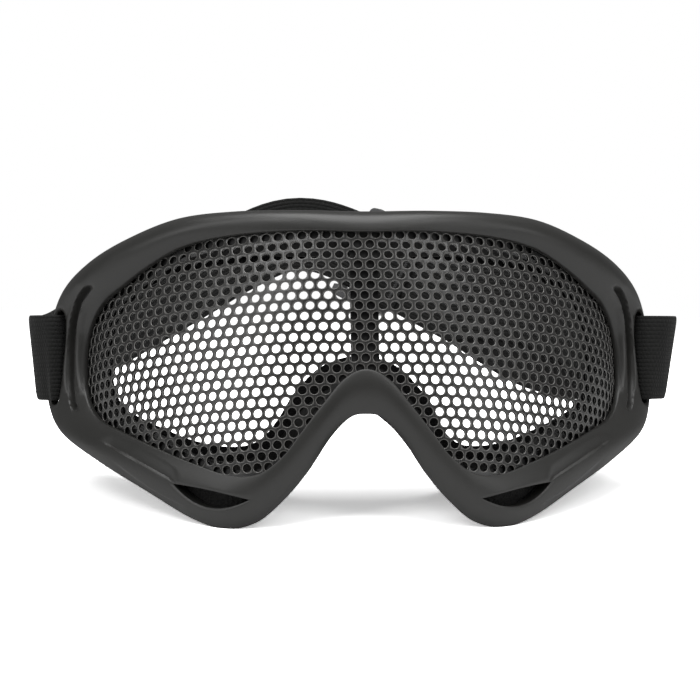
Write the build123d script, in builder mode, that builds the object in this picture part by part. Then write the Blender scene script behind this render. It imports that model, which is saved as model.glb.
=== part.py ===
# Mesh safety goggles, in millimetres.
# The pieces are drawn in the goggles' own upright frame: X to the wearer's left, Y back to the face, Z up.
# At the end they lean back on their cheek lobes, as they rest on a table, with Z = 0 on the table.
from build123d import *
import math
import os

os.makedirs("parts", exist_ok=True)

# Overall sizes of the rim
half_width = 93.4
rim_height = 91.6
rim_wrap = 54.5
lean_back = 10

# Perforated sheet
lens_inset = 11.5
lens_setback = 5.6
lens_half_width = half_width - lens_inset
lens_wrap = rim_wrap - lens_setback
lens_level = 51.9
lens_lean = 13.3
sheet_thickness = 0.8
sheet_edge = 2.5
hole_diameter = 2.5
hole_pitch = 3.35
row_pitch = 3.05
spread_height = 48.0
hole_margin = 0.5
lens_facets = 36

# Frame section
lip_thickness = 1.4
lip_gap = 0.2
crown_height = 2.8
flange_thickness = 3.4
rim_inset = 0.4
skirt_wall = 2.0
rebate_width = 3.0
rebate_depth = 2.4
seat_inset = 9.8
skirt_reach = 6.5
seat_reach = half_width - seat_inset
seat_depth = rim_wrap + skirt_reach
seat_width = 8.0
seat_thickness = 1.6
ear_root = 7.0

# Strap slots and the grooves beside them
slot_width = 4.0
slot_length = 29.0
slot_offset = 9.1
slot_lean = 2.5
slot_rise = 1.0
ear_facing = 39
groove_width = 2.0
groove_length = 37.0
groove_offset = 5.3
groove_depth = 1.1
cut_overrun = 6.0

# Cheek vents
vent_width = 24.5
vent_rise = 0.6
vent_drop = 3.8
vent_tilt = 8.5
filter_inset = 1.3
filter_height = 6.2
filter_thickness = 3.2
filter_gap = 0.5

# Ring behind the sheet; its post runs past the lip below and above
retainer_inner = 2.0
retainer_outer = 2.7
retainer_thickness = 2.2
post_width = 8.0
post_tail = 2.3
post_head = 1.8

# Foam and its facing
foam_thickness = 9.0
foam_proud = 1.0
foam_gap = 0.1
facing_thickness = 0.7
ground_cut = 0.4

# Strap
strap_width = 26.0
strap_thickness = 1.3
ply_offset = 1.5
strap_proud = 6.8
strap_half_span = half_width + strap_proud
strap_reach = 92.8
strap_rise = 43.6
ply_gap = 0.2

# Slider
slider_length = 20.0
slider_height = 34.0
slider_bar = 3.4
slider_rail = 3.4
slider_plate = 1.6
slider_running_gap = 0.2
slider_corner = 2.0
slider_x = 10.6
tack_height = 21.0
tack_width = 1.6
tack_thickness = 0.3
tack_corner = 0.5
tack_spacing = 7.0

# Outlines of one half, from the top centre round the temple and the cheek lobe to the nose.
# Each row is a share of half_width, rim_height and rim_wrap.
rim_shares = [
    (0, 0.993, 0.294), (0.225, 0.999, 0.312), (0.396, 1, 0.376), (0.573, 0.98, 0.473),
    (0.739, 0.917, 0.624), (0.862, 0.844, 0.771), (0.949, 0.753, 0.917), (0.991, 0.633, 0.996),
    (1, 0.502, 1), (0.998, 0.382, 0.96), (0.946, 0.284, 0.771), (0.819, 0.197, 0.505),
    (0.669, 0.111, 0.275), (0.533, 0.034, 0.119), (0.428, 0.002, 0.026), (0.332, 0.022, 0.004),
    (0.252, 0.09, -0.015), (0.177, 0.179, -0.029), (0.107, 0.286, -0.037), (0.048, 0.347, -0.037),
    (0, 0.358, -0.037),
]
# Shares of lens_half_width and rim_height: the edge of the lip round the mesh.
lip_shares = [
    (0, 0.93), (0.244, 0.933), (0.47, 0.919), (0.635, 0.886), (0.757, 0.829), (0.861, 0.762),
    (0.938, 0.701), (0.987, 0.611), (1, 0.492), (0.987, 0.399), (0.938, 0.333), (0.849, 0.295),
    (0.726, 0.249), (0.611, 0.21), (0.476, 0.172), (0.372, 0.179), (0.288, 0.235), (0.225, 0.309),
    (0.154, 0.391), (0.077, 0.47), (0, 0.5),
]
# Shares of seat_reach, rim_height and seat_depth: the skirt's back edge, where the foam is glued.
seat_shares = [
    (0, 0.945, 0.557), (0.251, 0.95, 0.574), (0.49, 0.946, 0.623), (0.682, 0.917, 0.705),
    (0.831, 0.867, 0.803), (0.927, 0.797, 0.902), (0.981, 0.709, 0.967), (0.999, 0.611, 1),
    (1, 0.497, 1), (0.988, 0.404, 0.984), (0.943, 0.323, 0.934), (0.843, 0.249, 0.861),
    (0.718, 0.186, 0.795), (0.604, 0.129, 0.746), (0.484, 0.1035, 0.705), (0.377, 0.114, 0.631),
    (0.293, 0.15, 0.541), (0.213, 0.219, 0.459), (0.136, 0.304, 0.393), (0.062, 0.359, 0.361),
    (0, 0.371, 0.352),
]
# Shares of seat_reach and rim_height: the foam's inner edge.
face_opening_shares = [
    (0, 0.846), (0.239, 0.846), (0.443, 0.841), (0.598, 0.819), (0.718, 0.78), (0.801, 0.726),
    (0.855, 0.666), (0.879, 0.595), (0.883, 0.502), (0.873, 0.42), (0.835, 0.36), (0.76, 0.322),
    (0.664, 0.284), (0.574, 0.254), (0.478, 0.238), (0.389, 0.245), (0.329, 0.278), (0.281, 0.338),
    (0.227, 0.42), (0.132, 0.507), (0, 0.54),
]
last_row = len(rim_shares) - 1
# Sections of the frame, foam and retainer are drawn this many times between one row and the next.
ring_steps = 2
# Row number and share of crown_height: how far the rim's face swells.
crown_shares = [(0, 1), (4, 0.93), (7, 0.45), (10, 0.45), (14, 0.64), (last_row, 0.55)]
# Row number and share: 1 where the rim widens into the ear that carries the strap slot.
ear_shares = [(0, 0), (5.2, 0), (6.6, 1), (9.3, 1), (10.7, 0), (last_row, 0)]
# Rows at the middle of the ear and of the vent, and the first and last row of the filter behind the vent.
ear_row = 7.75
vent_row = 13.55
filter_first_row = 12.25
filter_last_row = 14.95
filter_sections = 6
# Shares of the rim's width and of its crown: the dome of the rim's face, and the middle of the vent on it.
dome_shares = [(0.16, 0.6), (0.48, 1), (0.84, 0.5)]
vent_middle_shares = (0.5, 0.5)
# Share of flange_thickness left behind the rim's edge.
rim_edge_share = 0.85
# Foam section, as shares of foam_proud, of the way to the opening and of foam_thickness.
foam_side_share = 0.5
foam_heel_shares = (0.4, 0.88)
foam_crown_shares = [(0.35, 1), (0.75, 0.94)]
foam_inner_share = 0.6
# The sheet's bend: its depth at the edge is lens_wrap, from even powers of the share of the half width.
bend_shares = (0.935, -0.410, 0.475)
# Steps in which the length of the bent sheet is added up.
arc_steps = 400
# Rows of holes spread towards the brow: share of the pitch at spread_height above lens_level.
row_spread_share = 0.09
# The ply's way round a frame bar, from behind it through the slot to the tab in front: shares of the bar's
# width outwards from the slot, and of flange_thickness forwards.
bar_wrap_shares = [
    (3.484, -3.212), (2.426, -2.512), (1.499, -2.353), (0.781, -2.279), (0.288, -1.909), (0.038, -1.224),
    (0.04, -0.429), (0.029, 0.388), (0.27, 0.985), (0.859, 1.218), (1.622, 1.106), (2.304, 0.544),
]
tab_shares = (3.03, -0.95)
# Curve of the strap from tab to tab: shares of strap_half_span, and of strap_reach and strap_rise from
# the tabs.
strap_right_shares = [
    (0.958, 0.127, 0), (0.88, 0.292, -0.038), (0.765, 0.47, -0.02), (0.632, 0.625, 0.065),
    (0.504, 0.742, 0.245),
]
strap_straight_shares = [(0.378, 0.808, 0.445), (0.003, 0.976, 0.933)]
strap_left_shares = [
    (-0.127, 1, 1), (-0.277, 0.975, 0.851), (-0.425, 0.92, 0.649), (-0.592, 0.834, 0.42),
    (-0.758, 0.695, 0.202), (-0.887, 0.522, 0.111), (-0.962, 0.317, 0.03), (-0.99, 0.124, 0),
]
# The inner ply on the wearer's left takes a straighter way back to the slot: shares of strap_width above the
# outer ply, and of ply_offset inside it, at each of the outer ply's points.
fan_shares = [(0, 1), (0.16, 1.35), (0.46, 1.8), (0.44, 1.8), (0.115, 1.4), (0, 1)]
sewn_rows = 2
# Points of the band between two given ones, and how far its ends look along the straight stretch.
strap_steps = 3
tail_share = 0.3
# Sewn end round the slider's bar: shares of slider_length, of that reach and of half the strap's thickness.
loop_share = 0.66
loop_dip_share = 0.6
loop_bend_share = 1.4
tack_place_share = 0.8

lens_lean_rad = math.radians(lens_lean)
lens_up = Vector(0, math.sin(lens_lean_rad), math.cos(lens_lean_rad))
back = Vector(0, 1, 0)
up = Vector(0, 0, 1)


def between(part, a, b, c, d):
    """Smooth step from b to c, with a before them and d after."""
    curve = 2 * a - 5 * b + 4 * c - d + part * (3 * b - a - 3 * c + d)
    return b + part * (c - a + part * curve) / 2


def at_row(table, row):
    """Smooth curve through a half outline, mirrored past both of its ends."""
    first = min(int(row), last_row - 1)
    part = row - first
    near = []
    for index in range(first - 1, first + 3):
        place = abs(index)
        if place > last_row:
            place = 2 * last_row - place
        point = table[place]
        side = -1 if index < 0 or index > last_row else 1
        near.append((side * point[0],) + tuple(point[1:]))
    return [between(part, a, b, c, d) for a, b, c, d in zip(*near)]


def share_at(table, row):
    """Straight line between the two rows of a share table that row lies between."""
    for (start, low), (end, high) in zip(table, table[1:]):
        if row <= end:
            return low + (high - low) * (row - start) / (end - start)
    return table[-1][1]


def lens_plan(x):
    """Depth of the sheet's cross-section at a distance from the middle."""
    share = abs(x) / lens_half_width
    return lens_wrap * sum(bend * share ** (2 * power + 2) for power, bend in enumerate(bend_shares))


def lens_slope(x):
    """Slope of that cross-section."""
    share = abs(x) / lens_half_width
    steep = sum(bend * (2 * power + 2) * share ** (2 * power + 1) for power, bend in enumerate(bend_shares))
    return math.copysign(steep * lens_wrap / lens_half_width, x)


def lens_point(x, z):
    """Point of the sheet's front face at a place seen from the front."""
    return Vector(x, lens_plan(x) / math.cos(lens_lean_rad) + (z - lens_level) * math.tan(lens_lean_rad), z)


def lens_normal(x):
    """Direction out of the sheet's front face."""
    slope = lens_slope(x) / math.cos(lens_lean_rad)
    return Vector(slope, -1, math.tan(lens_lean_rad)).normalized()


def rim_point(row):
    x, z, y = at_row(rim_shares, row)
    return Vector(x * half_width, y * rim_wrap, z * rim_height)


def lip_place(row):
    """Edge of the lip's front, and the point of the sheet behind it."""
    x, z = at_row(lip_shares, row)
    x, z = x * lens_half_width, z * rim_height
    normal = lens_normal(x)
    stand = lip_gap + lip_thickness
    seat = lens_point(x - normal.X * stand, z - normal.Z * stand)
    return seat + normal * stand, seat, normal


class Station:
    """One section of the frame: lip, rim, skirt seat and the directions between them."""

    def __init__(self, row):
        step = 1 / (10 * ring_steps)
        self.rim = rim_point(row)
        self.lip, self.sheet, self.normal = lip_place(row)
        along = (rim_point(min(row + step, last_row)) - rim_point(max(row - step, 0))).normalized()
        if row in (0, last_row):
            along = Vector(1 if row == 0 else -1, 0, 0)
        self.across = (self.rim - self.lip).normalized()
        self.width = (self.rim - self.lip).length
        self.out = along.cross(self.across).normalized()
        if self.out.Y > 0:
            self.out = self.out * -1
        self.seat_out = (self.across - self.normal * self.across.dot(self.normal)).normalized()
        x, z, y = at_row(seat_shares, row)
        self.seat = Vector(x * seat_reach, y * seat_depth, z * rim_height)
        x, z = at_row(face_opening_shares, row)
        self.opening = Vector(x * seat_reach, self.seat.Y, z * rim_height)
        self.inward = (self.opening - self.seat).normalized()
        self.crown = crown_height * share_at(crown_shares, row)
        ear = share_at(ear_shares, row)
        self.root = (1 - ear) * (self.width - rim_inset) + ear * ear_root

    def face(self, share, swell):
        """Point of the rim's front face."""
        return self.lip + self.across * (share * self.width) + self.out * (swell * self.crown)


def frame_section(row):
    s = Station(row)
    skirt_outer = s.lip + s.across * s.root - s.out * flange_thickness
    skirt_inner = s.lip + s.across * (s.root - skirt_wall) - s.out * (flange_thickness + lip_gap)
    middle = (skirt_outer + s.seat) * 0.5
    shelf = s.seat - back * seat_thickness
    return [
        s.sheet + s.normal * lip_gap, s.lip,
        *[s.face(share, swell) for share, swell in dome_shares], s.rim,
        s.rim - s.out * (rim_edge_share * flange_thickness) - s.across * rim_inset,
        skirt_outer, middle, s.seat,
        s.seat + s.inward * seat_width, shelf + s.inward * seat_width, shelf + s.inward * skirt_wall,
        (skirt_inner + shelf + s.inward * skirt_wall) * 0.5, skirt_inner,
        s.sheet + s.seat_out * rebate_width - s.normal * rebate_depth,
        s.sheet + s.seat_out * rebate_width + s.normal * lip_gap,
    ]


def retainer_section(row):
    s = Station(row)
    front = sheet_thickness + lip_gap
    rear = front + retainer_thickness
    inner = s.sheet - s.seat_out * retainer_inner
    outer = s.sheet + s.seat_out * retainer_outer
    return [
        inner - s.normal * front, outer - s.normal * front, outer - s.normal * rear, inner - s.normal * rear,
    ]


def filter_section(row):
    s = Station(row)
    front = flange_thickness + lip_gap + filter_gap
    rear = front + filter_thickness
    far = s.lip + s.across * (s.root - skirt_wall - filter_inset)
    near = far - s.across * filter_height
    return [near - s.out * front, far - s.out * front, far - s.out * rear, near - s.out * rear]


def foam_back(s):
    """Crowned back of the foam, from its outer edge to its inner edge."""
    proud, depth = foam_heel_shares
    heel = s.seat - s.inward * (proud * foam_proud) + back * (depth * foam_thickness)
    across = s.opening - s.seat
    crown = [s.seat + across * way + back * (depth * foam_thickness) for way, depth in foam_crown_shares]
    return [heel] + crown


def foam_section(row):
    s = Station(row)
    front = back * foam_gap
    return [
        s.seat - s.inward * foam_proud + front,
        s.seat - s.inward * foam_proud + back * (foam_side_share * foam_thickness),
        *foam_back(s), s.opening + back * (foam_inner_share * foam_thickness), s.opening + front,
    ]


def facing_section(row):
    rear = foam_back(Station(row))
    inner = [point + back * foam_gap for point in rear]
    return inner + [point + back * (foam_gap + facing_thickness) for point in reversed(rear)]


ring_rows = [step / ring_steps for step in range(ring_steps * last_row + 1)]


def ring_stretch(section, rows):
    """A stretch of a ring, its sections joined by flat facets."""
    return Solid.make_loft([Wire.make_polygon(section(row), close=True) for row in rows], True)


def half_ring(section):
    return ring_stretch(section, ring_rows)


finished = []


def hand_in(piece, name):
    """Lean a finished piece back as the goggles rest, and keep it for the end."""
    finished.append((name, piece.moved(Location((0, 0, 0), (-lean_back, 0, 0)))))


# Ear: the plane of the strap slot, upright and turned outwards
ear_rad = math.radians(ear_facing)
ear_station = Station(ear_row)
bar_width = ear_station.width - slot_offset
ear_plane = Plane(
    origin=ear_station.lip + up * slot_rise,
    x_dir=Vector(math.cos(ear_rad), math.sin(ear_rad), 0),
    z_dir=Vector(math.sin(ear_rad), -math.cos(ear_rad), 0),
)


# Strap path: the band's lower edge, as Vectors
def ear_place(shares):
    """Point of the band's lower edge beside the left ear, the band's middle being level with the slot."""
    outwards = ear_plane.x_dir * (slot_offset + shares[0] * bar_width)
    forwards = ear_plane.z_dir * (shares[1] * flange_thickness)
    return ear_plane.origin + outwards + forwards - up * (strap_width / 2)


tab = ear_place(tab_shares)


def strap_place(shares):
    """Point of the band's lower edge round the back of the head."""
    x, y, z = shares[0] * strap_half_span, shares[1] * strap_reach, shares[2] * strap_rise
    return Vector(x, tab.Y + y, tab.Z + z)


def mirrored(point):
    return Vector(-point.X, point.Y, point.Z)


def smooth(points, before=None, after=None):
    """Points along a smooth curve through all the given ones."""
    ends = [before or points[0]] + list(points) + [after or points[-1]]
    result = []
    for near in zip(ends, ends[1:], ends[2:], ends[3:]):
        for step in range(strap_steps):
            result.append(Vector(*[between(step / strap_steps, *values) for values in zip(*near)]))
    return result + [points[-1]]


def band_sides(points, first=None, last=None):
    """Outward and upward directions of a band at each point of its lower edge."""
    ends = [first or points[0]] + list(points) + [last or points[-1]]
    sides = []
    for before, after in zip(ends, ends[2:]):
        along = (after - before).normalized()
        outward = Vector(along.Y, -along.X, 0).normalized()
        sides.append((outward, outward.cross(along).normalized()))
    return sides


def band(points, sides):
    """A flat band: a thin rectangle carried along its lower edge."""
    wires = []
    for point, (outward, upward) in zip(points, sides):
        half = outward * (strap_thickness / 2)
        top = point + upward * strap_width
        wires.append(Wire.make_polygon([point - half, point + half, top + half, top - half], close=True))
    return Solid.make_loft(wires, True)


def inner_ply(points, sides, fan):
    """Lower edge of a second ply inside the band, raised and set in by its fan shares at each point."""
    return [
        point + up * (rise * strap_width) - side[0] * (inset * ply_offset)
        for point, side, (rise, inset) in zip(points, sides, fan)
    ]


right_outer = [tab] + [strap_place(shares) for shares in strap_right_shares]
straight_start, straight_end = [strap_place(shares) for shares in strap_straight_shares]
left_outer = [strap_place(shares) for shares in strap_left_shares] + [mirrored(tab)]
straight_step = (straight_end - straight_start) * tail_share
wrap_right = [ear_place(shares) for shares in bar_wrap_shares]
wrap_left = [mirrored(point) for point in reversed(wrap_right)]

right_sides = band_sides(right_outer + [straight_start], last=straight_start + straight_step)
right_inner = inner_ply(right_outer[1:] + [straight_start], right_sides[1:], fan_shares)
left_sides = band_sides([straight_end] + left_outer)[1:]
left_inner = inner_ply(
    left_outer[-1 - sewn_rows:-1], left_sides[-1 - sewn_rows:-1], [fan_shares[0]] * sewn_rows
)

straight_side = band_sides([straight_start, straight_end])[0]
right_path = smooth(
    list(reversed(right_inner)) + wrap_right + right_outer + [straight_start],
    before=right_inner[-1] + straight_step, after=straight_start + straight_step,
)
left_path = smooth(
    [straight_end] + left_outer + wrap_left + list(reversed(left_inner)),
    before=straight_end - straight_step,
)
strap_path = right_path + left_path
strap_sides = band_sides(strap_path)
for index in (0, len(right_path) - 1, len(right_path)):
    strap_sides[index] = straight_side

# Main frame
vent_station = Station(vent_row)
vent_plane = Plane(
    origin=vent_station.face(*vent_middle_shares),
    x_dir=Vector(1, 0, math.tan(math.radians(vent_tilt))), z_dir=vent_station.out,
)
with BuildPart() as main_frame:
    add(half_ring(frame_section))
    with BuildSketch(ear_plane):
        with Locations((slot_offset, 0)):
            SlotOverall(slot_length, slot_width, rotation=90 + slot_lean)
    extrude(amount=cut_overrun, both=True, mode=Mode.SUBTRACT)
    with BuildSketch(ear_plane.offset(-groove_depth)):
        with Locations((groove_offset, 0)):
            SlotOverall(groove_length, groove_width, rotation=90 + slot_lean)
    extrude(amount=cut_overrun, mode=Mode.SUBTRACT)
    with BuildSketch(vent_plane):
        with BuildLine():
            ThreePointArc((-vent_width / 2, vent_rise), (0, 2 * vent_rise), (vent_width / 2, vent_rise))
            ThreePointArc((vent_width / 2, vent_rise), (0, -vent_drop), (-vent_width / 2, vent_rise))
        make_face()
    extrude(amount=cut_overrun, both=True, mode=Mode.SUBTRACT)
    mirror(about=Plane.YZ)
hand_in(main_frame.part, "main_frame")

# Perforated sheet: its cross-section bends in the plane square to lens_up
lens_plane = Plane(origin=(0, 0, lens_level), x_dir=(1, 0, 0), z_dir=lens_up)
arc_reach = lens_half_width + sheet_edge
arc_points = [arc_reach * step / arc_steps for step in range(arc_steps + 1)]
arc_lengths = [0]
for near, far in zip(arc_points, arc_points[1:]):
    arc_lengths.append(arc_lengths[-1] + math.hypot(far - near, lens_plan(far) - lens_plan(near)))


def x_at_arc(arc):
    """Distance from the middle of the point that lies that far along the bent sheet."""
    index = min(sum(1 for length in arc_lengths if length <= abs(arc)), arc_steps) - 1
    part = (abs(arc) - arc_lengths[index]) / (arc_lengths[index + 1] - arc_lengths[index])
    return math.copysign(arc_points[index] + part * (arc_points[index + 1] - arc_points[index]), arc)


def arc_at_x(x):
    index = min(int(abs(x) / arc_reach * arc_steps), arc_steps)
    return math.copysign(arc_lengths[index], x)


def flat_place(point):
    """Arc length and height of a point of the sheet, as if it were unrolled."""
    local = lens_plane.to_local_coords(point)
    return arc_at_x(local.X), local.Z


def clearance(place, outline):
    """Distance of a place inside a closed outline from its edge, negative outside it."""
    inside = False
    nearest = arc_reach
    for (ax, ay), (bx, by) in zip(outline, outline[1:] + outline[:1]):
        if (ay > place[1]) != (by > place[1]):
            if place[0] < ax + (place[1] - ay) * (bx - ax) / (by - ay):
                inside = not inside
        along_x, along_y = bx - ax, by - ay
        share = ((place[0] - ax) * along_x + (place[1] - ay) * along_y) / (along_x**2 + along_y**2)
        share = max(0, min(1, share))
        nearest = min(nearest, math.hypot(place[0] - ax - share * along_x, place[1] - ay - share * along_y))
    return nearest if inside else -nearest


half_lip = [flat_place(lip_place(row)[1]) for row in ring_rows]
flat_outline = half_lip + [(-arc, height) for arc, height in reversed(half_lip[1:-1])]
hole_places = []
hole_rows = int(rim_height / row_pitch)
hole_columns = int(arc_lengths[-1] / hole_pitch)
for row in range(-hole_rows, hole_rows + 1):
    height = row * row_pitch
    spread = 1 + row_spread_share * height / spread_height
    for column in range(-hole_columns, hole_columns + 1):
        stagger = 0.5 if row % 2 == 0 else 0
        arc = (column + stagger) * hole_pitch * spread
        if abs(arc) < arc_lengths[-1] and clearance((arc, height), flat_outline) > -hole_margin:
            x = x_at_arc(arc)
            slope = math.atan(lens_slope(x))
            normal = lens_plane.x_dir * math.sin(slope) - lens_plane.y_dir * math.cos(slope)
            front = lens_plane.from_local_coords(Vector(x, lens_plan(x), height))
            middle = front - normal * (sheet_thickness / 2)
            hole_places.append(Plane(origin=middle, x_dir=lens_up, z_dir=normal))
print(len(hole_places), "holes")

facet_x = [x_at_arc(arc_lengths[-1] * (2 * step / lens_facets - 1)) for step in range(lens_facets + 1)]
front_line = [(x, lens_plan(x)) for x in facet_x]
back_line = []
for x, y in reversed(front_line):
    slope = math.atan(lens_slope(x))
    back_line.append((x - sheet_thickness * math.sin(slope), y + sheet_thickness * math.cos(slope)))
sheet_rim = []
for row in ring_rows:
    station = Station(row)
    edge = station.sheet + station.seat_out * sheet_edge - station.normal * sheet_thickness
    sheet_rim.append((edge.X, edge.Z))
with BuildPart() as mesh_lens:
    with BuildSketch(lens_plane.offset(-rim_height)):
        with BuildLine():
            Polyline(*front_line, *back_line, close=True)
        make_face()
    extrude(amount=2 * rim_height)
    with BuildSketch(Plane.XZ):
        with BuildLine():
            Polyline(*sheet_rim, *[(-x, z) for x, z in reversed(sheet_rim[1:-1])], close=True)
        make_face()
    extrude(amount=2 * lens_wrap, both=True, mode=Mode.INTERSECT)
    with Locations(*hole_places):
        Cylinder(hole_diameter / 2, 3 * sheet_thickness, mode=Mode.SUBTRACT)
hand_in(mesh_lens.part, "mesh_lens")

# Ring and centre post behind the sheet
post_start = lip_shares[-1][1] * rim_height - post_tail
post_end = lip_shares[0][1] * rim_height + post_head
post_low = (post_start - lens_level) / math.cos(lens_lean_rad)
post_high = (post_end - lens_level) / math.cos(lens_lean_rad)
with BuildPart() as lens_retainer:
    add(half_ring(retainer_section))
    mirror(about=Plane.YZ)
    with BuildSketch(lens_plane.offset(post_low)):
        with Locations((0, sheet_thickness + lip_gap + retainer_thickness / 2)):
            Rectangle(post_width, retainer_thickness)
    extrude(amount=post_high - post_low)
hand_in(lens_retainer.part, "lens_retainer")

# Foam ring, its soft facing and the vent filters
for section, name in ((foam_section, "face_foam"), (facing_section, "foam_facing")):
    with BuildPart() as ring:
        add(half_ring(section))
        mirror(about=Plane.YZ)
    hand_in(ring.part, name)

filter_step = (filter_last_row - filter_first_row) / (filter_sections - 1)
with BuildPart() as vent_filter:
    filter_rows = [filter_first_row + filter_step * step for step in range(filter_sections)]
    add(ring_stretch(filter_section, filter_rows))
hand_in(vent_filter.part, "vent_filter_left")
hand_in(vent_filter.part.mirror(Plane.YZ), "vent_filter_right")

# Strap with its sewn end round the right-hand bar of the frame
with BuildPart() as elastic_strap:
    add(band(strap_path, strap_sides))
hand_in(elastic_strap.part, "elastic_strap")

# Slider on the straight stretch of the strap
outward, upward = straight_side
to_wearers_left = (straight_start - straight_end).normalized()
slider_share = (slider_x - straight_end.X) / (straight_start.X - straight_end.X)
slider_foot = straight_end + (straight_start - straight_end) * slider_share
slider_centre = slider_foot + upward * (strap_width / 2)
slider_plane = Plane(origin=slider_centre, x_dir=to_wearers_left, z_dir=outward)
half_ply = strap_thickness / 2
front_level = half_ply + slider_running_gap
bar_level = front_level + strap_thickness + slider_running_gap
with BuildPart() as strap_slider:
    with BuildSketch(slider_plane.offset(front_level)):
        RectangleRounded(slider_length, slider_height, slider_corner)
        Rectangle(slider_length - 2 * slider_bar, slider_height - 2 * slider_rail, mode=Mode.SUBTRACT)
    extrude(amount=slider_plate)
    with BuildSketch(slider_plane.offset(-bar_level - slider_plate)):
        RectangleRounded(slider_length, slider_height, slider_corner)
        Rectangle(slider_length, slider_height - 2 * slider_rail, mode=Mode.SUBTRACT)
    extrude(amount=bar_level + slider_plate + front_level)
    with BuildSketch(slider_plane.offset(-bar_level - slider_plate)):
        Rectangle(slider_bar, slider_height - slider_rail)
    extrude(amount=slider_plate)
hand_in(strap_slider.part, "strap_slider")

# Sewn end of the strap round the slider's middle bar
loop_plane = Plane(origin=slider_foot, x_dir=to_wearers_left, z_dir=upward)
loop_turn = slider_bar / 2 + slider_running_gap + half_ply
low_level = bar_level + slider_plate + slider_running_gap + half_ply
loop_reach = slider_length * loop_share
with BuildPart() as strap_end_loop:
    with BuildSketch(loop_plane):
        with BuildLine():
            FilletPolyline(
                (loop_reach, -ply_offset), (-loop_turn, -ply_offset), (-loop_turn, -low_level),
                (slider_bar, -low_level), (loop_reach * loop_dip_share, -2 * ply_offset),
                (loop_reach, -2 * ply_offset),
                radius=half_ply * loop_bend_share,
            )
        trace(line_width=strap_thickness)
    extrude(amount=strap_width)
hand_in(strap_end_loop.part, "strap_end_loop")

# Inner ply from the sewn end to where it runs on beside the strap
return_start = slider_foot + to_wearers_left * (loop_reach + ply_gap) - outward * ply_offset
return_end = straight_start - to_wearers_left * ply_gap - outward * ply_offset
with BuildPart() as strap_return_ply:
    add(band([return_end, return_start], [straight_side, straight_side]))
hand_in(strap_return_ply.part, "strap_return_ply")

# Bar tacks of the two sewn ends
sewn_middle = left_path.index(left_outer[-1 - sewn_rows])
sewn_side = strap_sides[len(right_path) + sewn_middle]
sewn_along = sewn_side[1].cross(sewn_side[0]).normalized()
sewn_plane = Plane(
    origin=left_path[sewn_middle] + sewn_side[1] * (strap_width / 2), x_dir=sewn_along, z_dir=sewn_side[0]
)
tack_middle = slider_centre + to_wearers_left * (loop_reach * tack_place_share) - outward * (2 * ply_offset)
tack_plane = Plane(origin=tack_middle, x_dir=to_wearers_left, z_dir=-outward)
for plane, name, count in ((sewn_plane, "frame_loop_stitches", 2), (tack_plane, "slider_loop_stitches", 1)):
    with BuildPart() as tacks:
        with BuildSketch(plane.offset(half_ply)):
            with GridLocations(tack_spacing, 0, count, 1):
                RectangleRounded(tack_width, tack_height, tack_corner)
        extrude(amount=tack_thickness)
    hand_in(tacks.part, name)

# The table is ground_cut above the lowest point of the lobes, and the origin under the middle of the whole.
boxes = [piece.bounding_box() for name, piece in finished]
middle = (min(box.min.Y for box in boxes) + max(box.max.Y for box in boxes)) / 2
lift = -min(box.min.Z for box in boxes) - ground_cut
print("moved by", round(-middle, 3), round(lift, 3))
for name, piece in finished:
    standing = piece.moved(Location((0, -middle, lift)))
    if standing.bounding_box().min.Z < 0:
        reach = 4 * half_width
        standing = standing - Box(reach, reach, reach, align=(Align.CENTER, Align.CENTER, Align.MAX))
    standing.label = name
    export_step(standing, f"parts/{name}.step")
    print(name, round(standing.volume), "mm3")
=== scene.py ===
# Mesh safety goggles: a soft black frame round a bent perforated sheet, with face foam and an elastic strap.
# Shapes are worked out in millimetres in the goggles' own upright frame, then set on the table in metres.
import math
import bmesh
import bpy
import numpy as np
from mathutils import Matrix


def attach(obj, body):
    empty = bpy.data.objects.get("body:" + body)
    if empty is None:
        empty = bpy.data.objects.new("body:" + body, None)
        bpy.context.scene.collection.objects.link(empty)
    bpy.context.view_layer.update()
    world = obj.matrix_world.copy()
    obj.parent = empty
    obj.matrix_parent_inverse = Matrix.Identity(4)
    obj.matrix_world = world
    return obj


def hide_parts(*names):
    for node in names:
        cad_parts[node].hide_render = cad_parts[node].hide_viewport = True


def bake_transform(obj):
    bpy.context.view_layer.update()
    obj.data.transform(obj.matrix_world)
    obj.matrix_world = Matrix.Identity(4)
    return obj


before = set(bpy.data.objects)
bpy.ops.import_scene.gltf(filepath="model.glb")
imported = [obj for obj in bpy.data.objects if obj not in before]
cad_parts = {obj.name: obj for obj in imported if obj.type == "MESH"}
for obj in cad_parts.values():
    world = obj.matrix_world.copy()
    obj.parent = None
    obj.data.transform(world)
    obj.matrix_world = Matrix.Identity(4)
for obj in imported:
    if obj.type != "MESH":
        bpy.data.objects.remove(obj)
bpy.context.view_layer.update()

# Table, light and camera.
# The goggles rest leant back on a white table, under a broad soft light from above and four weaker ones.
# The camera looks level with the goggles' own frame, a little from the wearer's right.
MM = 0.001
LEAN_BACK = math.radians(10)
REST_SHIFT = np.array([0, -85.78, -0.334])


def stand(points):
    """Places in mm turned back by LEAN_BACK about X, then shifted onto the table, as metres:
    y' = y cos + z sin, z' = z cos - y sin."""
    x, y, z = np.moveaxis(np.asarray(points, dtype=float), -1, 0)
    cos, sin = math.cos(LEAN_BACK), math.sin(LEAN_BACK)
    return (np.stack([x, y * cos + z * sin, z * cos - y * sin], axis=-1) + REST_SHIFT) * MM


def unit(vectors):
    """Vectors divided by their lengths."""
    vectors = np.asarray(vectors, dtype=float)
    return vectors / np.linalg.norm(vectors, axis=-1, keepdims=True)


VIEW_YAW = math.radians(-4.5)
VIEW_DISTANCE = 600
VIEW_LEVEL = 51.9
FOCAL_LENGTH = 108.6
SENSOR_WIDTH = 36
VIEW_CENTRE_PX = (365.6, 347.2)
PHOTO_PX = 700
NEAREST_SEEN = 0.01

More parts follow.
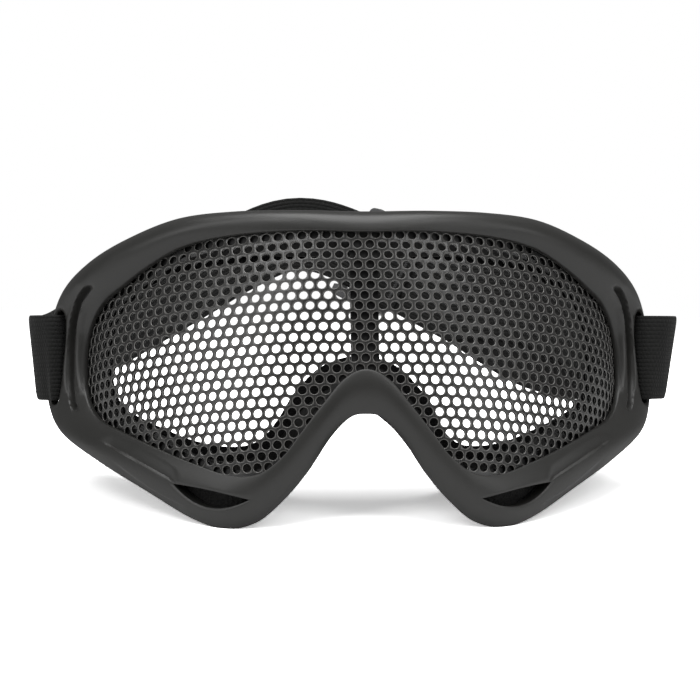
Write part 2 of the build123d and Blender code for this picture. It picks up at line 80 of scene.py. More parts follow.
to_right = np.array([math.cos(VIEW_YAW), math.sin(VIEW_YAW), 0])
to_camera = np.array([math.sin(VIEW_YAW), -math.cos(VIEW_YAW), 0])
straight_up = np.array([0, 0, 1.0])
camera = bpy.data.objects.new("camera", bpy.data.cameras.new("camera"))
bpy.context.collection.objects.link(camera)
place = stand(to_camera * VIEW_DISTANCE + straight_up * VIEW_LEVEL)
axes = unit(stand([to_right, straight_up, to_camera]) - stand([0, 0, 0]))
camera.matrix_world = Matrix([[*axes[:, row], place[row]] for row in range(3)] + [[0, 0, 0, 1]])
camera.data.lens = FOCAL_LENGTH
camera.data.sensor_width = SENSOR_WIDTH
camera.data.shift_x = (PHOTO_PX / 2 - VIEW_CENTRE_PX[0]) / PHOTO_PX
camera.data.shift_y = (VIEW_CENTRE_PX[1] - PHOTO_PX / 2) / PHOTO_PX
camera.data.clip_start = NEAREST_SEEN
bpy.context.scene.camera = camera
bpy.context.scene.view_settings.view_transform = "Standard"


# Each lamp's name, place, target and side in metres, and its watts.
SOFTBOXES = (
    ("overhead_light", (0, -0.08, 1.0), (0, -0.02, 0.05), 0.8, 9),
    ("front_left_light", (-0.58, -0.66, 0.95), (0, -0.02, 0.05), 0.4, 2.6),
    ("front_right_light", (0.58, -0.66, 0.95), (0, -0.02, 0.05), 0.4, 2.0),
    ("left_light", (-1.0, -0.7, 0.55), (0, 0, 0.04), 0.6, 2.2),
    ("right_light", (1.0, -0.8, 0.45), (0, 0, 0.04), 0.6, 2.0),
)
LAMP_UP = (0.01, 1, 0.02)


def softbox(name, position, target, size, watts):
    """A square area lamp at position, facing target."""
    lamp = bpy.data.lights.new(name, "AREA")
    lamp.size = size
    lamp.energy = watts
    holder = bpy.data.objects.new(name, lamp)
    bpy.context.collection.objects.link(holder)
    backwards = unit(np.subtract(position, target))
    sideways = unit(np.cross(LAMP_UP, backwards))
    axes = np.stack([sideways, np.cross(backwards, sideways), backwards], axis=1)
    holder.matrix_world = Matrix([[*axes[row], position[row]] for row in range(3)] + [[0, 0, 0, 1]])


for lamp_values in SOFTBOXES:
    softbox(*lamp_values)

WHITE, TABLE_PAINT = (1, 1, 1, 1), (0.8, 0.8, 0.8, 1)
SKY_LEVEL, TABLE_LIFT, EXTRA_PAINTS = 0.22, 0.35, 2
TABLE_REACH, SHADOW_REACH = 30, 0.34


def new_node(tree, kind, links=(), values=(), **settings):
    """A shader node with its settings, input values and incoming links."""
    node = tree.nodes.new(kind)
    for key, value in settings.items():
        setattr(node, key, value)
    for key, value in dict(values).items():
        node.inputs[key].default_value = value
    for key, source in dict(links).items():
        tree.links.new(source, node.inputs[key])
    return node


world = bpy.data.worlds.new("studio")
bpy.context.scene.world = world
world.use_nodes = True
tree = world.node_tree
tree.nodes.clear()
ray = new_node(tree, "ShaderNodeLightPath").outputs
seen = new_node(tree, "ShaderNodeMath", {0: ray["Is Camera Ray"], 1: ray["Is Transmission Ray"]},
                operation="MAXIMUM")
level = new_node(tree, "ShaderNodeMapRange", {"Value": seen.outputs[0]},
                 {"To Min": SKY_LEVEL, "To Max": 1.0})
sky = new_node(tree, "ShaderNodeBackground", {"Strength": level.outputs[0]}, {"Color": WHITE})
new_node(tree, "ShaderNodeOutputWorld", {"Surface": sky.outputs[0]})

# The table lights the goggles as plain paint. The camera alone sees it lifted to white, with their shadow.
table_material = bpy.data.materials.new("white_table")
table_material.use_nodes = True
tree = table_material.node_tree
tree.nodes.clear()
paint = new_node(tree, "ShaderNodeBsdfDiffuse", (), {"Color": TABLE_PAINT})
near = paint
for extra in range(EXTRA_PAINTS):
    near = new_node(tree, "ShaderNodeAddShader", {0: near.outputs[0], 1: paint.outputs[0]})
lifted = new_node(tree, "ShaderNodeEmission", (), {"Color": WHITE, "Strength": TABLE_LIFT})
near = new_node(tree, "ShaderNodeAddShader", {0: near.outputs[0], 1: lifted.outputs[0]})
far = new_node(tree, "ShaderNodeEmission", (), {"Color": WHITE, "Strength": 1.0})
place = new_node(tree, "ShaderNodeTexCoord")
reach = new_node(tree, "ShaderNodeVectorMath", {0: place.outputs["Object"]}, operation="LENGTH")
fade = new_node(tree, "ShaderNodeMapRange", {"Value": reach.outputs["Value"]},
                {"From Min": SHADOW_REACH / 2, "From Max": SHADOW_REACH}, interpolation_type="SMOOTHSTEP")
shown = new_node(tree, "ShaderNodeMixShader", {0: fade.outputs[0], 1: near.outputs[0], 2: far.outputs[0]})
seen = new_node(tree, "ShaderNodeLightPath").outputs["Is Camera Ray"]
chosen = new_node(tree, "ShaderNodeMixShader", {0: seen, 1: paint.outputs[0], 2: shown.outputs[0]})
new_node(tree, "ShaderNodeOutputMaterial", {"Surface": chosen.outputs[0]})
table_mesh = bpy.data.meshes.new("table")
table_corners = np.array([(-1, -1, 0), (1, -1, 0), (1, 1, 0), (-1, 1, 0)]) * TABLE_REACH
table_mesh.from_pydata(table_corners.tolist(), [], [(0, 1, 2, 3)])
table = bpy.data.objects.new("table", table_mesh)
table.data.materials.append(table_material)
bpy.context.collection.objects.link(table)

# Main frame.
# One moulding of soft black rubber-like plastic: a broad domed rim, a skirt back to the face, two ears with
# a strap slot and a groove each, and a D-shaped vent in each cheek. Its front has a fine matt grain.
# Rows run from the top centre round the temple and the cheek lobe to the nose: x, z, y of one half in mm.
RIM = np.array([
    (0, 91, 16), (21, 91.5, 17), (37, 91.6, 20.5), (53.5, 89.8, 25.8), (69, 84, 34), (80.5, 77.3, 42),
    (88.6, 69, 50), (92.6, 58, 54.3), (93.4, 46, 54.5), (93.2, 35, 52.3), (88.4, 26, 42), (76.5, 18, 27.5),
    (62.5, 10.2, 15), (49.8, 3.1, 6.5), (40, 0.2, 1.4), (31, 2, 0.2), (23.5, 8.2, -0.8), (16.5, 16.4, -1.6),
    (10, 26.2, -2), (4.5, 31.8, -2), (0, 32.8, -2),
])
LIP = np.array([
    (0, 85.2), (20, 85.5), (38.5, 84.2), (52, 81.2), (62, 75.9), (70.5, 69.8), (76.8, 64.2), (80.8, 56),
    (81.9, 45.1), (80.8, 36.5), (76.8, 30.5), (69.5, 27), (59.5, 22.8), (50, 19.2), (39, 15.8), (30.5, 16.4),
    (23.6, 21.5), (18.4, 28.3), (12.6, 35.8), (6.3, 43.1), (0, 45.8),
])
SEAT = np.array([
    (0, 86.6, 34), (21, 87, 35), (41, 86.7, 38), (57, 84, 43), (69.5, 79.4, 49), (77.5, 73, 55),
    (82, 64.9, 59), (83.5, 56, 61), (83.6, 45.5, 61), (82.6, 37, 60), (78.8, 29.6, 57), (70.5, 22.8, 52.5),
    (60, 17, 48.5), (50.5, 11.8, 45.5), (40.5, 9.5, 43), (31.5, 10.4, 38.5), (24.5, 13.7, 33),
    (17.8, 20.1, 28), (11.4, 27.8, 24), (5.2, 32.9, 22), (0, 34, 21.5),
])
OPENING = np.array([
    (0, 77.5), (20, 77.5), (37, 77), (50, 75), (60, 71.4), (67, 66.5), (71.5, 61), (73.5, 54.5), (73.8, 46),
    (73, 38.5), (69.8, 33), (63.5, 29.5), (55.5, 26), (48, 23.3), (40, 21.8), (32.5, 22.4), (27.5, 25.5),
    (23.5, 31), (19, 38.5), (11, 46.4), (0, 49.5),
])
LAST_ROW = len(RIM) - 1
CROWN_ROWS, CROWN_HEIGHTS = (0, 4, 5.5, 7, 10, 14, LAST_ROW), (2.8, 3.0, 2.8, 1.26, 1.26, 1.8, 1.54)
DOME_POWER = 2.1
CREST_ROWS, CREST_SHARES = (0, 3, 4.5, 6, 7.5, LAST_ROW), (0.46, 0.46, 0.6, 0.6, 0.48, 0.48)
EAR_ROWS, EAR_SHARES = (0, 5.2, 6.6, 9.3, 10.7, LAST_ROW), (0, 0, 1, 1, 0, 0)
SHEET_WRAP, SHEET_HALF_WIDTH, SHEET_LEVEL = 48.9, 81.9, 51.9
SHEET_BENDS = (0.935, -0.410, 0.475)
SHEET_LEAN = math.radians(13.3)
SHEET_THICKNESS = 0.8
LIP_THICKNESS, LIP_GAP = 1.4, 0.2
FLANGE, RIM_INSET, SKIRT_WALL, EAR_ROOT = 3.4, 0.4, 2.0, 7.0
REBATE_WIDTH, REBATE_DEPTH = 3.0, 2.4
SEAT_WIDTH, SEAT_THICKNESS = 8.0, 1.6
RIM_BACK_SHARE = 0.85
ROW_NUDGE = 0.05
TINY = 1e-6
BACK = np.array([0, 1.0, 0])
MIRROR = np.array([-1, 1, 1])
SIDES = (("left", np.ones(3)), ("right", MIRROR))


def on_rows(outline, rows):
    """Smooth curve through a half outline, mirrored past both ends: between rows b and c the point is
    (2b + (c-a)t + (2a-5b+4c-d)t^2 + (3b-a-3c+d)t^3) / 2."""
    flip = np.array([-1] + [1] * (outline.shape[1] - 1))
    ends = np.vstack([outline[1] * flip, outline, outline[-2] * flip])
    first = np.minimum(rows.astype(int), LAST_ROW - 1)
    t = (rows - first)[:, None]
    a, b, c, d = (ends[first + step] for step in range(4))
    return b + t * (c - a + t * (2 * a - 5 * b + 4 * c - d + t * (3 * (b - c) + d - a))) / 2


def sheet_depth(x):
    """Bend of the sheet's section: SHEET_WRAP times a sum of bends times even powers of x / half width."""
    share = np.abs(x) / SHEET_HALF_WIDTH
    return SHEET_WRAP * sum(bend * share ** (2 * power + 2) for power, bend in enumerate(SHEET_BENDS))


def sheet_slope(x):
    """Derivative of sheet_depth."""
    share = np.abs(x) / SHEET_HALF_WIDTH
    steep = sum(bend * (2 * power + 2) * share ** (2 * power + 1) for power, bend in enumerate(SHEET_BENDS))
    return np.sign(x) * steep * SHEET_WRAP / SHEET_HALF_WIDTH


class Stations:
    """The frame's lip, rim and seat at an array of rows, with the directions between them."""

    def __init__(self, rows):
        x, z, y = on_rows(RIM, rows).T
        self.rim = np.stack([x, y, z], axis=-1)
        x, z = on_rows(LIP, rows).T
        slope = sheet_slope(x) / math.cos(SHEET_LEAN)
        lean = math.tan(SHEET_LEAN)
        self.normal = unit(np.stack([slope, np.full_like(x, -1), np.full_like(x, lean)], axis=-1))
        stand_off = LIP_GAP + LIP_THICKNESS
        x, z = x - self.normal[:, 0] * stand_off, z - self.normal[:, 2] * stand_off
        depth = sheet_depth(x) / math.cos(SHEET_LEAN) + (z - SHEET_LEVEL) * lean
        self.sheet = np.stack([x, depth, z], axis=-1)
        self.lip = self.sheet + self.normal * stand_off
        ahead = on_rows(RIM, np.minimum(rows + ROW_NUDGE, LAST_ROW))
        behind = on_rows(RIM, np.maximum(rows - ROW_NUDGE, 0))
        along = unit((ahead - behind)[:, [0, 2, 1]])
        self.across = unit(self.rim - self.lip)
        self.width = np.linalg.norm(self.rim - self.lip, axis=-1)[:, None]
        out = unit(np.cross(along, self.across))
        self.out = np.where(out[:, 1:2] > 0, -out, out)
        inside = (self.across * self.normal).sum(-1, keepdims=True)
        self.seat_out = unit(self.across - self.normal * inside)
        x, z, y = on_rows(SEAT, rows).T
        self.seat = np.stack([x, y, z], axis=-1)
        x, z = on_rows(OPENING, rows).T
        self.opening = np.stack([x, y, z], axis=-1)
        self.inward = unit(self.opening - self.seat)
        self.crown = np.interp(rows, CROWN_ROWS, CROWN_HEIGHTS)[:, None]
        self.crest = np.interp(rows, CREST_ROWS, CREST_SHARES)[:, None]
        ear = np.interp(rows, EAR_ROWS, EAR_SHARES)[:, None]
        self.root = (1 - ear) * (self.width - RIM_INSET) + ear * EAR_ROOT

    def face(self, share):
        """Front of the rim: its dome is 1 - |(share - crest) / reach|^2.1 high between lip and rim."""
        reach = np.where(share < self.crest, self.crest, 1 - self.crest)
        swell = 1 - np.abs((share - self.crest) / reach) ** DOME_POWER
        return self.lip + self.across * (share * self.width) + self.out * (swell * self.crown)


MOST_OF_SIDE = 0.49


def eased(corners, radii, steps):
    """Closed profile with eased corners: each corner c becomes (1-t)^2 p + 2t(1-t) c + t^2 q, where p and q
    lie on its two sides, radius away or nearly half-way to the next corner."""
    profile = []
    for index, (radius, count) in enumerate(zip(radii, steps)):
        corner = corners[index]
        if count == 0:
            profile.append(corner)
            continue
        ends = []
        for other in (corners[index - 1], corners[(index + 1) % len(corners)]):
            side = other - corner
            length = np.linalg.norm(side, axis=-1, keepdims=True)
            ends.append(corner + side * np.minimum(radius / np.maximum(length, TINY), MOST_OF_SIDE))
        for t in np.linspace(0, 1, count + 1):
            profile.append((1 - t) ** 2 * ends[0] + 2 * t * (1 - t) * corner + t**2 * ends[1])
    return np.stack(profile)


def both_halves(half):
    """A ring of columns from one half: it and its mirror image across X, less the two shared columns."""
    other = half[:, -2:0:-1] * MIRROR
    return np.concatenate([half, other], axis=1)


def grid_faces(rows, columns, closed_rows=True, closed_columns=True):
    """Quads of a grid of rows by columns of points, joined round where it is closed."""
    row = np.arange(rows if closed_rows else rows - 1)[:, None]
    column = np.arange(columns if closed_columns else columns - 1)[None, :]
    next_row, next_column = (row + 1) % rows, (column + 1) % columns
    corners = [row * columns + column, row * columns + next_column,
               next_row * columns + next_column, next_row * columns + column]
    return np.stack(corners, axis=-1).reshape(-1, 4)


SHARP_ANGLE, WELD_DISTANCE = 35, 2e-6


def solid_piece(name, points, faces, finish, smooth_angle=SHARP_ANGLE, ends=(), chart=None, wear_and_highlight=None):
    """A closed piece from points in mm and an array of quads, with end caps, its faces turned outwards.
    A chart gives each point its place on the cloth, a UV map called weave; the last argument is a share of
    paler paint for each point, standing for worn paint and painted highlight."""
    mesh = bpy.data.meshes.new(name)
    corners = np.asarray(faces).tolist() + [list(end) for end in ends]
    mesh.from_pydata(stand(points.reshape(-1, 3)).tolist(), [], corners)
    if chart is not None:
        corner_points = np.empty(len(mesh.loops), dtype=int)
        mesh.loops.foreach_get("vertex_index", corner_points)
        mesh.uv_layers.new(name="weave").data.foreach_set("uv", chart[corner_points].ravel())
    if wear_and_highlight is not None:
        mesh.attributes.new("wear_and_highlight", "FLOAT", "POINT").data.foreach_set("value", wear_and_highlight)
    work = bmesh.new()
    work.from_mesh(mesh)
    bmesh.ops.remove_doubles(work, verts=work.verts, dist=WELD_DISTANCE)
    bmesh.ops.recalc_face_normals(work, faces=work.faces)
    work.to_mesh(mesh)
    work.free()
    mesh.shade_smooth()
    mesh.set_sharp_from_angle(angle=math.radians(smooth_angle))
    mesh.materials.append(finish.material)
    piece = bpy.data.objects.new(name, mesh)
    bpy.context.collection.objects.link(piece)
    return piece


COLOR_A, COLOR_B, COLOR_OUT = 6, 7, 2
CLOUD_DETAIL, CLOUD_ROUGHNESS = 6.0, 0.62
CLOUD_LOW, CLOUD_HIGH = 0.3, 0.7


def two_colors(tree, share, first, second):
    """Colour between two others by a share; each may be three numbers or a colour socket."""
    mix = new_node(tree, "ShaderNodeMix", {0: share}, data_type="RGBA")
    for index, color in ((COLOR_A, first), (COLOR_B, second)):
        if hasattr(color, "links"):
            tree.links.new(color, mix.inputs[index])
        else:
            mix.inputs[index].default_value = (*color, 1)
    return mix.outputs[COLOR_OUT]


class Finish:
    """A Principled material mottled by noise: its size in metres moves the colour from dark to pale, and the
    roughness between the two values in rough. Textures read Object coordinates, in metres."""

    def __init__(self, name, size, dark, pale, rough, **sockets):
        self.material = bpy.data.materials.new(name)
        self.material.use_nodes = True
        self.tree = self.material.node_tree
        self.shader = self.tree.nodes["Principled BSDF"]
        for key, value in sockets.items():
            socket = key.replace("_", " ").title().replace("Ior", "IOR")
            self.shader.inputs[socket].default_value = value
        self.place = new_node(self.tree, "ShaderNodeTexCoord").outputs["Object"]
        cloud = self.texture("Noise", 1 / size, Detail=CLOUD_DETAIL, Roughness=CLOUD_ROUGHNESS)
        self.color = two_colors(self.tree, cloud, dark, pale)
        self.tree.links.new(self.color, self.shader.inputs["Base Color"])
        roughness = new_node(self.tree, "ShaderNodeMapRange", {"Value": cloud}, {
            "From Min": CLOUD_LOW, "From Max": CLOUD_HIGH, "To Min": rough[0], "To Max": rough[1]})
        self.tree.links.new(roughness.outputs[0], self.shader.inputs["Roughness"])

    def texture(self, kind, scale, output="Fac", **values):
        """One output of a texture node of that kind and scale."""
        values["Scale"] = scale
        node = new_node(self.tree, "ShaderNodeTex" + kind, {"Vector": self.place}, values)
        return node.outputs[output]

    def bump(self, height, distance, strength):
        """Feeds a height through a bump node into the shader."""
        node = new_node(self.tree, "ShaderNodeBump", {"Height": height}, {
            "Distance": distance, "Strength": strength})
        self.tree.links.new(node.outputs[0], self.shader.inputs["Normal"])


rubber = Finish("soft_frame_rubber", 0.03, (0.016, 0.0159, 0.0148), (0.025, 0.0246, 0.0229), (0.32, 0.44),
                specular_ior_level=0.5)
rubber.bump(rubber.texture("Noise", 2400, Detail=3), 0.00006, 0.5)

SLOT_WIDTH, SLOT_LENGTH, SLOT_OFFSET = 4.0, 29.0, 9.1
SLOT_LEAN, SLOT_LEVEL, EAR_FACING, EAR_ROW = math.radians(2.5), 48.687, math.radians(39), 7.75
VENT_WIDTH, VENT_RISE, VENT_DROP = 24.5, 0.6, 3.8
VENT_TILT, VENT_LIFT, VENT_ROW = math.radians(7.0), 1.3, 13.55
ROLL_REACH, ROLL_DEPTH = 0.8, 0.45
CUT_REACH = 6.0
ear = Stations(np.array([EAR_ROW]))
ear_origin = np.array([ear.lip[0, 0], ear.lip[0, 1], SLOT_LEVEL])
ear_side = np.array([math.cos(EAR_FACING), math.sin(EAR_FACING), 0])
ear_out = np.array([math.sin(EAR_FACING), -math.cos(EAR_FACING), 0])
vent = Stations(np.array([VENT_ROW]))
vent_out = vent.out[0]
vent_side = np.array([1, 0, math.tan(VENT_TILT)])
vent_side = unit(vent_side - vent_out * (vent_side @ vent_out))
vent_up = np.cross(vent_out, vent_side)
vent_middle = (vent.lip + vent.across * vent.width * 0.5 + vent.out * vent.crown * 0.5)[0]
vent_origin = vent_middle + vent_up * VENT_LIFT


def from_slot_edge(points):
    """Distance of points from the leaning slot's edge, negative inside it."""
    local = points - ear_origin
    a, b = local @ ear_side - SLOT_OFFSET, local[..., 2]
    cos, sin = math.cos(SLOT_LEAN), math.sin(SLOT_LEAN)
    across, along = a * cos + b * sin, b * cos - a * sin
    past_end = np.maximum(np.abs(along) - (SLOT_LENGTH - SLOT_WIDTH) / 2, 0)
    return np.hypot(across, past_end) - SLOT_WIDTH / 2


def arc_height(share, low, high):
    """Height of a shallow arc over a chord: high in the middle, low at share -1 and 1."""
    return high + (low - high) * share**2


def from_vent_edge(points):
    """Rough distance of points from the vent's edge, negative inside it."""
    local = points - vent_origin
    a, b = local @ vent_side, local @ vent_up
    share = a / (VENT_WIDTH / 2)
    top, low = arc_height(share, VENT_RISE, 2 * VENT_RISE), arc_height(share, VENT_RISE, -VENT_DROP)
    edge = np.maximum(np.maximum(b - top, low - b), np.abs(a) - VENT_WIDTH / 2)
    return np.where(np.abs(local @ vent_out) < CUT_REACH, edge, CUT_REACH)


COLUMNS_PER_ROW = 16
FACE_SAMPLES, FACE_SPAN = 45, (0.05, 0.95)
# Folds in the rim's face: rows, mm from the lip there, reach towards lip and rim, height, and fade in rows
FOLDS = (
    # The groove beside the strap slot, its end mark, and the two swellings along it
    ((5.3, 6.0, 6.48, 7.1, 7.75, 8.5, 9.08, 9.5), (6.6, 6.7, 5.6, 4.7, 4.2, 4.7, 5.4, 5.6),
     1.4, 1.4, -2.3, 0.35),
    ((9.2, 9.56), (5.5, 5.6), 1.7, 1.7, -0.5, 0.16),
    ((6.2, 6.52, 7.28, 8.52, 8.9), (7.9, 7.5, 6.2, 7.1, 7.4), 1.1, 1.1, 0.35, 0.35),
    ((6.1, 6.45, 7.2, 8.35, 8.9), (3.9, 3.6, 2.2, 1.5, 1.4), 1.6, 1.6, 0.6, 0.35),
    # The fold that runs from the temple into the vent's outer end, and the shallow one below it
    ((10.7, 11.4, 12.05, 12.8), (5.4, 5.0, 5.8, 7.0), 4.2, 0.6, -0.9, 0.35),
    ((11.2, 12.15, 12.95), (9.3, 12.3, 13.5), 0.7, 2.6, -0.4, 0.35),
)


def even_rows(per_row):
    """Row numbers of one half, from first to last, with per_row of them to each row of the outlines."""
    return np.linspace(0, LAST_ROW, LAST_ROW * per_row + 1)


def smooth_step(share):
    """A share held between 0 and 1, made smooth at both ends: share^2 (3 - 2 share)."""
    share = np.clip(share, 0, 1)
    return share * share * (3 - 2 * share)


ring_rows = even_rows(COLUMNS_PER_ROW)
ring = Stations(ring_rows)
face_shares = np.linspace(*FACE_SPAN, FACE_SAMPLES)
from_lip = face_shares[:, None] * ring.width[:, 0]


def fold(rows, middles, inner_reach, outer_reach, height, fade):
    """Height of a long fold moulded in the rim's face. Its middle lies middles mm from the lip at the given
    rows. Across it, at a share t of its reach, it is (1 - t^2)^1.5 high; it fades out at both ends."""
    middle = np.interp(ring_rows, rows, middles)
    window = np.hanning(COLUMNS_PER_ROW // 2 + 2)
    middle = np.convolve(np.pad(middle, len(window) // 2, mode="edge"), window / window.sum(), "same")
    middle = middle[len(window) // 2:][:len(ring_rows)]
    ends = smooth_step(np.minimum(ring_rows - rows[0], rows[-1] - ring_rows) / fade)
    away = from_lip - middle
    share = away / np.where(away < 0, inner_reach, outer_reach)
    return height * ends * np.clip(1 - share**2, 0, 1) ** 1.5


relief = sum(fold(*values) for values in FOLDS)
face_points = np.stack([ring.face(share) for share in face_shares])
near_cut = np.minimum(from_slot_edge(face_points), from_vent_edge(face_points))
roll = ROLL_DEPTH * np.clip(1 - near_cut / ROLL_REACH, 0, 1) ** 2
face_points = face_points + ring.out * (relief - roll)[..., None]
skirt_outer = ring.lip + ring.across * ring.root - ring.out * FLANGE
skirt_inner = ring.lip + ring.across * (ring.root - SKIRT_WALL) - ring.out * (FLANGE + LIP_GAP)
shelf = ring.seat - BACK * SEAT_THICKNESS
frame_corners = [
    ring.sheet + ring.normal * LIP_GAP, ring.lip, *face_points, ring.rim,
    ring.rim - ring.out * (RIM_BACK_SHARE * FLANGE) - ring.across * RIM_INSET,
    skirt_outer, (skirt_outer + ring.seat) / 2, ring.seat,
    ring.seat + ring.inward * SEAT_WIDTH, shelf + ring.inward * SEAT_WIDTH, shelf + ring.inward * SKIRT_WALL,
    (skirt_inner + shelf + ring.inward * SKIRT_WALL) / 2, skirt_inner,
    ring.sheet + ring.seat_out * REBATE_WIDTH - ring.normal * REBATE_DEPTH,
    ring.sheet + ring.seat_out * REBATE_WIDTH + ring.normal * LIP_GAP,
]
smooth_face = [0] * FACE_SAMPLES
frame_radii = [0.3, 0.7] + smooth_face + [1.1, 0.7, 1.2, 4, 0.5, 0.4, 0.4, 0.8, 4, 0.8, 0.3, 0.3]
frame_steps = [2, 4] + smooth_face + [5, 3, 4, 3, 2, 2, 2, 2, 3, 2, 1, 1]
frame_profile = both_halves(eased(frame_corners, frame_radii, frame_steps))
main_frame = solid_piece("frame_moulding", frame_profile, grid_faces(*frame_profile.shape[:2]), rubber)


def cutter(name, outline, origin, side, upward, out):
    """A prism through the frame: a closed outline in mm carried CUT_REACH both ways along out."""
    flat = origin + outline[:, :1] * side + outline[:, 1:] * upward
    points = np.stack([flat - out * CUT_REACH, flat + out * CUT_REACH])
    count = len(outline)
    ends = (range(count), range(2 * count - 1, count - 1, -1))
    return solid_piece(name, points, grid_faces(2, count, closed_rows=False), rubber, ends=ends)


SLOT_END_POINTS, VENT_EDGE_POINTS = 13, 25
turn = np.linspace(0, math.pi, SLOT_END_POINTS)
end_arc = np.stack([np.cos(turn), np.sin(turn)], axis=-1) * SLOT_WIDTH / 2
straight = np.array([0, (SLOT_LENGTH - SLOT_WIDTH) / 2])
upright_slot = np.concatenate([end_arc + straight, -end_arc - straight])
cos, sin = math.cos(SLOT_LEAN), math.sin(SLOT_LEAN)
slot_outline = upright_slot @ np.array([[cos, sin], [-sin, cos]]) + np.array([SLOT_OFFSET, 0])
share = np.linspace(-1, 1, VENT_EDGE_POINTS)
vent_top = np.stack([share * VENT_WIDTH / 2, arc_height(share, VENT_RISE, 2 * VENT_RISE)], axis=-1)
vent_low = np.stack([share * VENT_WIDTH / 2, arc_height(share, VENT_RISE, -VENT_DROP)], axis=-1)
vent_outline = np.concatenate([vent_top, vent_low[-2:0:-1]])
cutters = []
for side_name, mirror in SIDES:
    cutters.append(cutter("slot_cut_" + side_name, slot_outline, ear_origin * mirror, ear_side * mirror,
                          straight_up, ear_out * mirror))
    cutters.append(cutter("vent_cut_" + side_name, vent_outline, vent_origin * mirror, vent_side * mirror,
                          vent_up * mirror, vent_out * mirror))
for tool in cutters:
    cut = main_frame.modifiers.new(tool.name, "BOOLEAN")
    cut.object = tool
    cut.operation = "DIFFERENCE"
    cut.solver = "EXACT"
cut_mesh = bpy.data.meshes.new_from_object(main_frame.evaluated_get(bpy.context.evaluated_depsgraph_get()))
main_frame.modifiers.clear()
main_frame.data = cut_mesh
cut_mesh.shade_smooth()
cut_mesh.set_sharp_from_angle(angle=math.radians(SHARP_ANGLE))
for tool in cutters:
    bpy.data.objects.remove(tool)
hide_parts("main_frame")
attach(main_frame, "goggle_body")

# Perforated sheet.
# Mild steel 0.8 mm thick, punched with staggered round holes, bent round the face and painted satin black.
# Its edge is trapped between the frame's lip and the retainer ring.
HOLE_RADIUS, HOLE_PITCH, ROW_PITCH, ROW_SPREAD = 1.25, 3.35, 3.05, 0.09
HOLE_MARGIN, SHEET_EDGE, SHEET_HALF_HEIGHT = 0.5, 2.5, 48.0
MOUTH_RADIUS, MOUTH_DEPTH, HOLE_FLARE = 1.44, 0.14, 0.08
DISH_DEPTH, DISH_REACH, FOLD_SHARE, FOLD_REACH = 2.8, 26.0, 0.8, 13.0
# Below, the hole mouths get a paler colour: partly worn paint at the punched edges, partly a painted
# highlight standing in for the light their rims catch.
WORN_AND_HIGHLIGHT_COLOR, WORN_AND_HIGHLIGHT_SHARES = (0.2, 0.194, 0.184), (0.2, 1)
ARC_OVERRUN, ARC_POINTS, EDGE_POINTS_PER_ROW = 3, 900, 4
LATTICE_ROWS, LATTICE_COLUMNS = 16, 34
# Each hole has a cell of the lattice round it. Its corners, as many as the hole has sides, are quarter steps
# along and half rows up from its centre, and a cell with no hole is closed by strips between them.
HOLE_SIDES = 12
CELL_STEPS = np.array([2, 2, 1, 0, -1, -2, -2, -2, -1, 0, 1, 2])
CELL_HALVES = np.array([0, 1, 1, 1, 1, 1, 0, -1, -1, -1, -1, -1])
CELL_STRIPS = ([0, 1, 2, 11], [11, 2, 3, 10], [10, 3, 4, 9], [9, 4, 5, 8], [8, 5, 6, 7])
X_AXIS = np.array([1.0, 0, 0])

arc_x = np.linspace(0, SHEET_HALF_WIDTH + SHEET_EDGE + ARC_OVERRUN, ARC_POINTS)
arc_length = np.concatenate([[0], np.cumsum(np.hypot(np.diff(arc_x), np.diff(sheet_depth(arc_x))))])
sheet_up = np.array([0, math.sin(SHEET_LEAN), math.cos(SHEET_LEAN)])
sheet_back = np.array([0, math.cos(SHEET_LEAN), -math.sin(SHEET_LEAN)])
sheet_origin = np.array([0, 0, SHEET_LEVEL])


def on_sheet(flat, depth):
    """Point of the bent sheet: x from the arc length, then back by sheet_depth and up by the height, and
    depth mm into the sheet along its normal."""
    x = np.sign(flat[..., 0]) * np.interp(np.abs(flat[..., 0]), arc_length, arc_x)
    slope = np.arctan(sheet_slope(x))[..., None]
    outward = X_AXIS * np.sin(slope) - sheet_back * np.cos(slope)
    front = sheet_origin + sheet_up * flat[..., 1:2] + sheet_back * sheet_depth(x)[..., None]
    front = front + X_AXIS * x[..., None]
    return front - outward * np.asarray(depth)[..., None]


def clearance(places, outline):
    """Distance of flat places from a closed outline, positive inside, and the outline's nearest points."""
    ax, ay = outline.T
    bx, by = np.roll(outline, -1, axis=0).T
    px, py = places[:, :1], places[:, 1:]
    crossing = ((ay > py) != (by > py)) & (px < ax + (py - ay) * (bx - ax) / np.where(by == ay, 1, by - ay))
    inside = crossing.sum(axis=1) % 2 == 1
    length = np.maximum((bx - ax) ** 2 + (by - ay) ** 2, TINY)
    share = np.clip(((px - ax) * (bx - ax) + (py - ay) * (by - ay)) / length, 0, 1)
    near_x, near_y = ax + share * (bx - ax), ay + share * (by - ay)
    gap = np.hypot(px - near_x, py - near_y)
    best = gap.argmin(axis=1)
    line = np.arange(len(places))
    nearest = np.stack([near_x[line, best], near_y[line, best]], axis=-1)
    return np.where(inside, 1, -1) * gap[line, best], nearest


edge = Stations(even_rows(EDGE_POINTS_PER_ROW)).sheet - sheet_origin
flat_half = np.stack([np.interp(edge[:, 0], arc_x, arc_length), edge @ sheet_up], axis=-1)
flat_lip = np.concatenate([flat_half, flat_half[-2:0:-1] * MIRROR[:2]])
along = unit(np.roll(flat_lip, -1, axis=0) - np.roll(flat_lip, 1, axis=0))
flat_edge = flat_lip + np.stack([-along[:, 1], along[:, 0]], axis=-1) * SHEET_EDGE
row_numbers = np.arange(-LATTICE_ROWS, LATTICE_ROWS + 1)
column_numbers = np.arange(-LATTICE_COLUMNS, LATTICE_COLUMNS + 1)
lattice_row, lattice_column = (grid.ravel() for grid in np.meshgrid(row_numbers, column_numbers))
centre_step = lattice_column + np.where(lattice_row % 2 == 0, 0.5, 0)


def from_lattice(step, height):
    """Flat place of a lattice point: steps spread a little towards the brow."""
    spread = 1 + ROW_SPREAD * height / SHEET_HALF_HEIGHT
    return np.stack([step * HOLE_PITCH * spread, height], axis=-1)


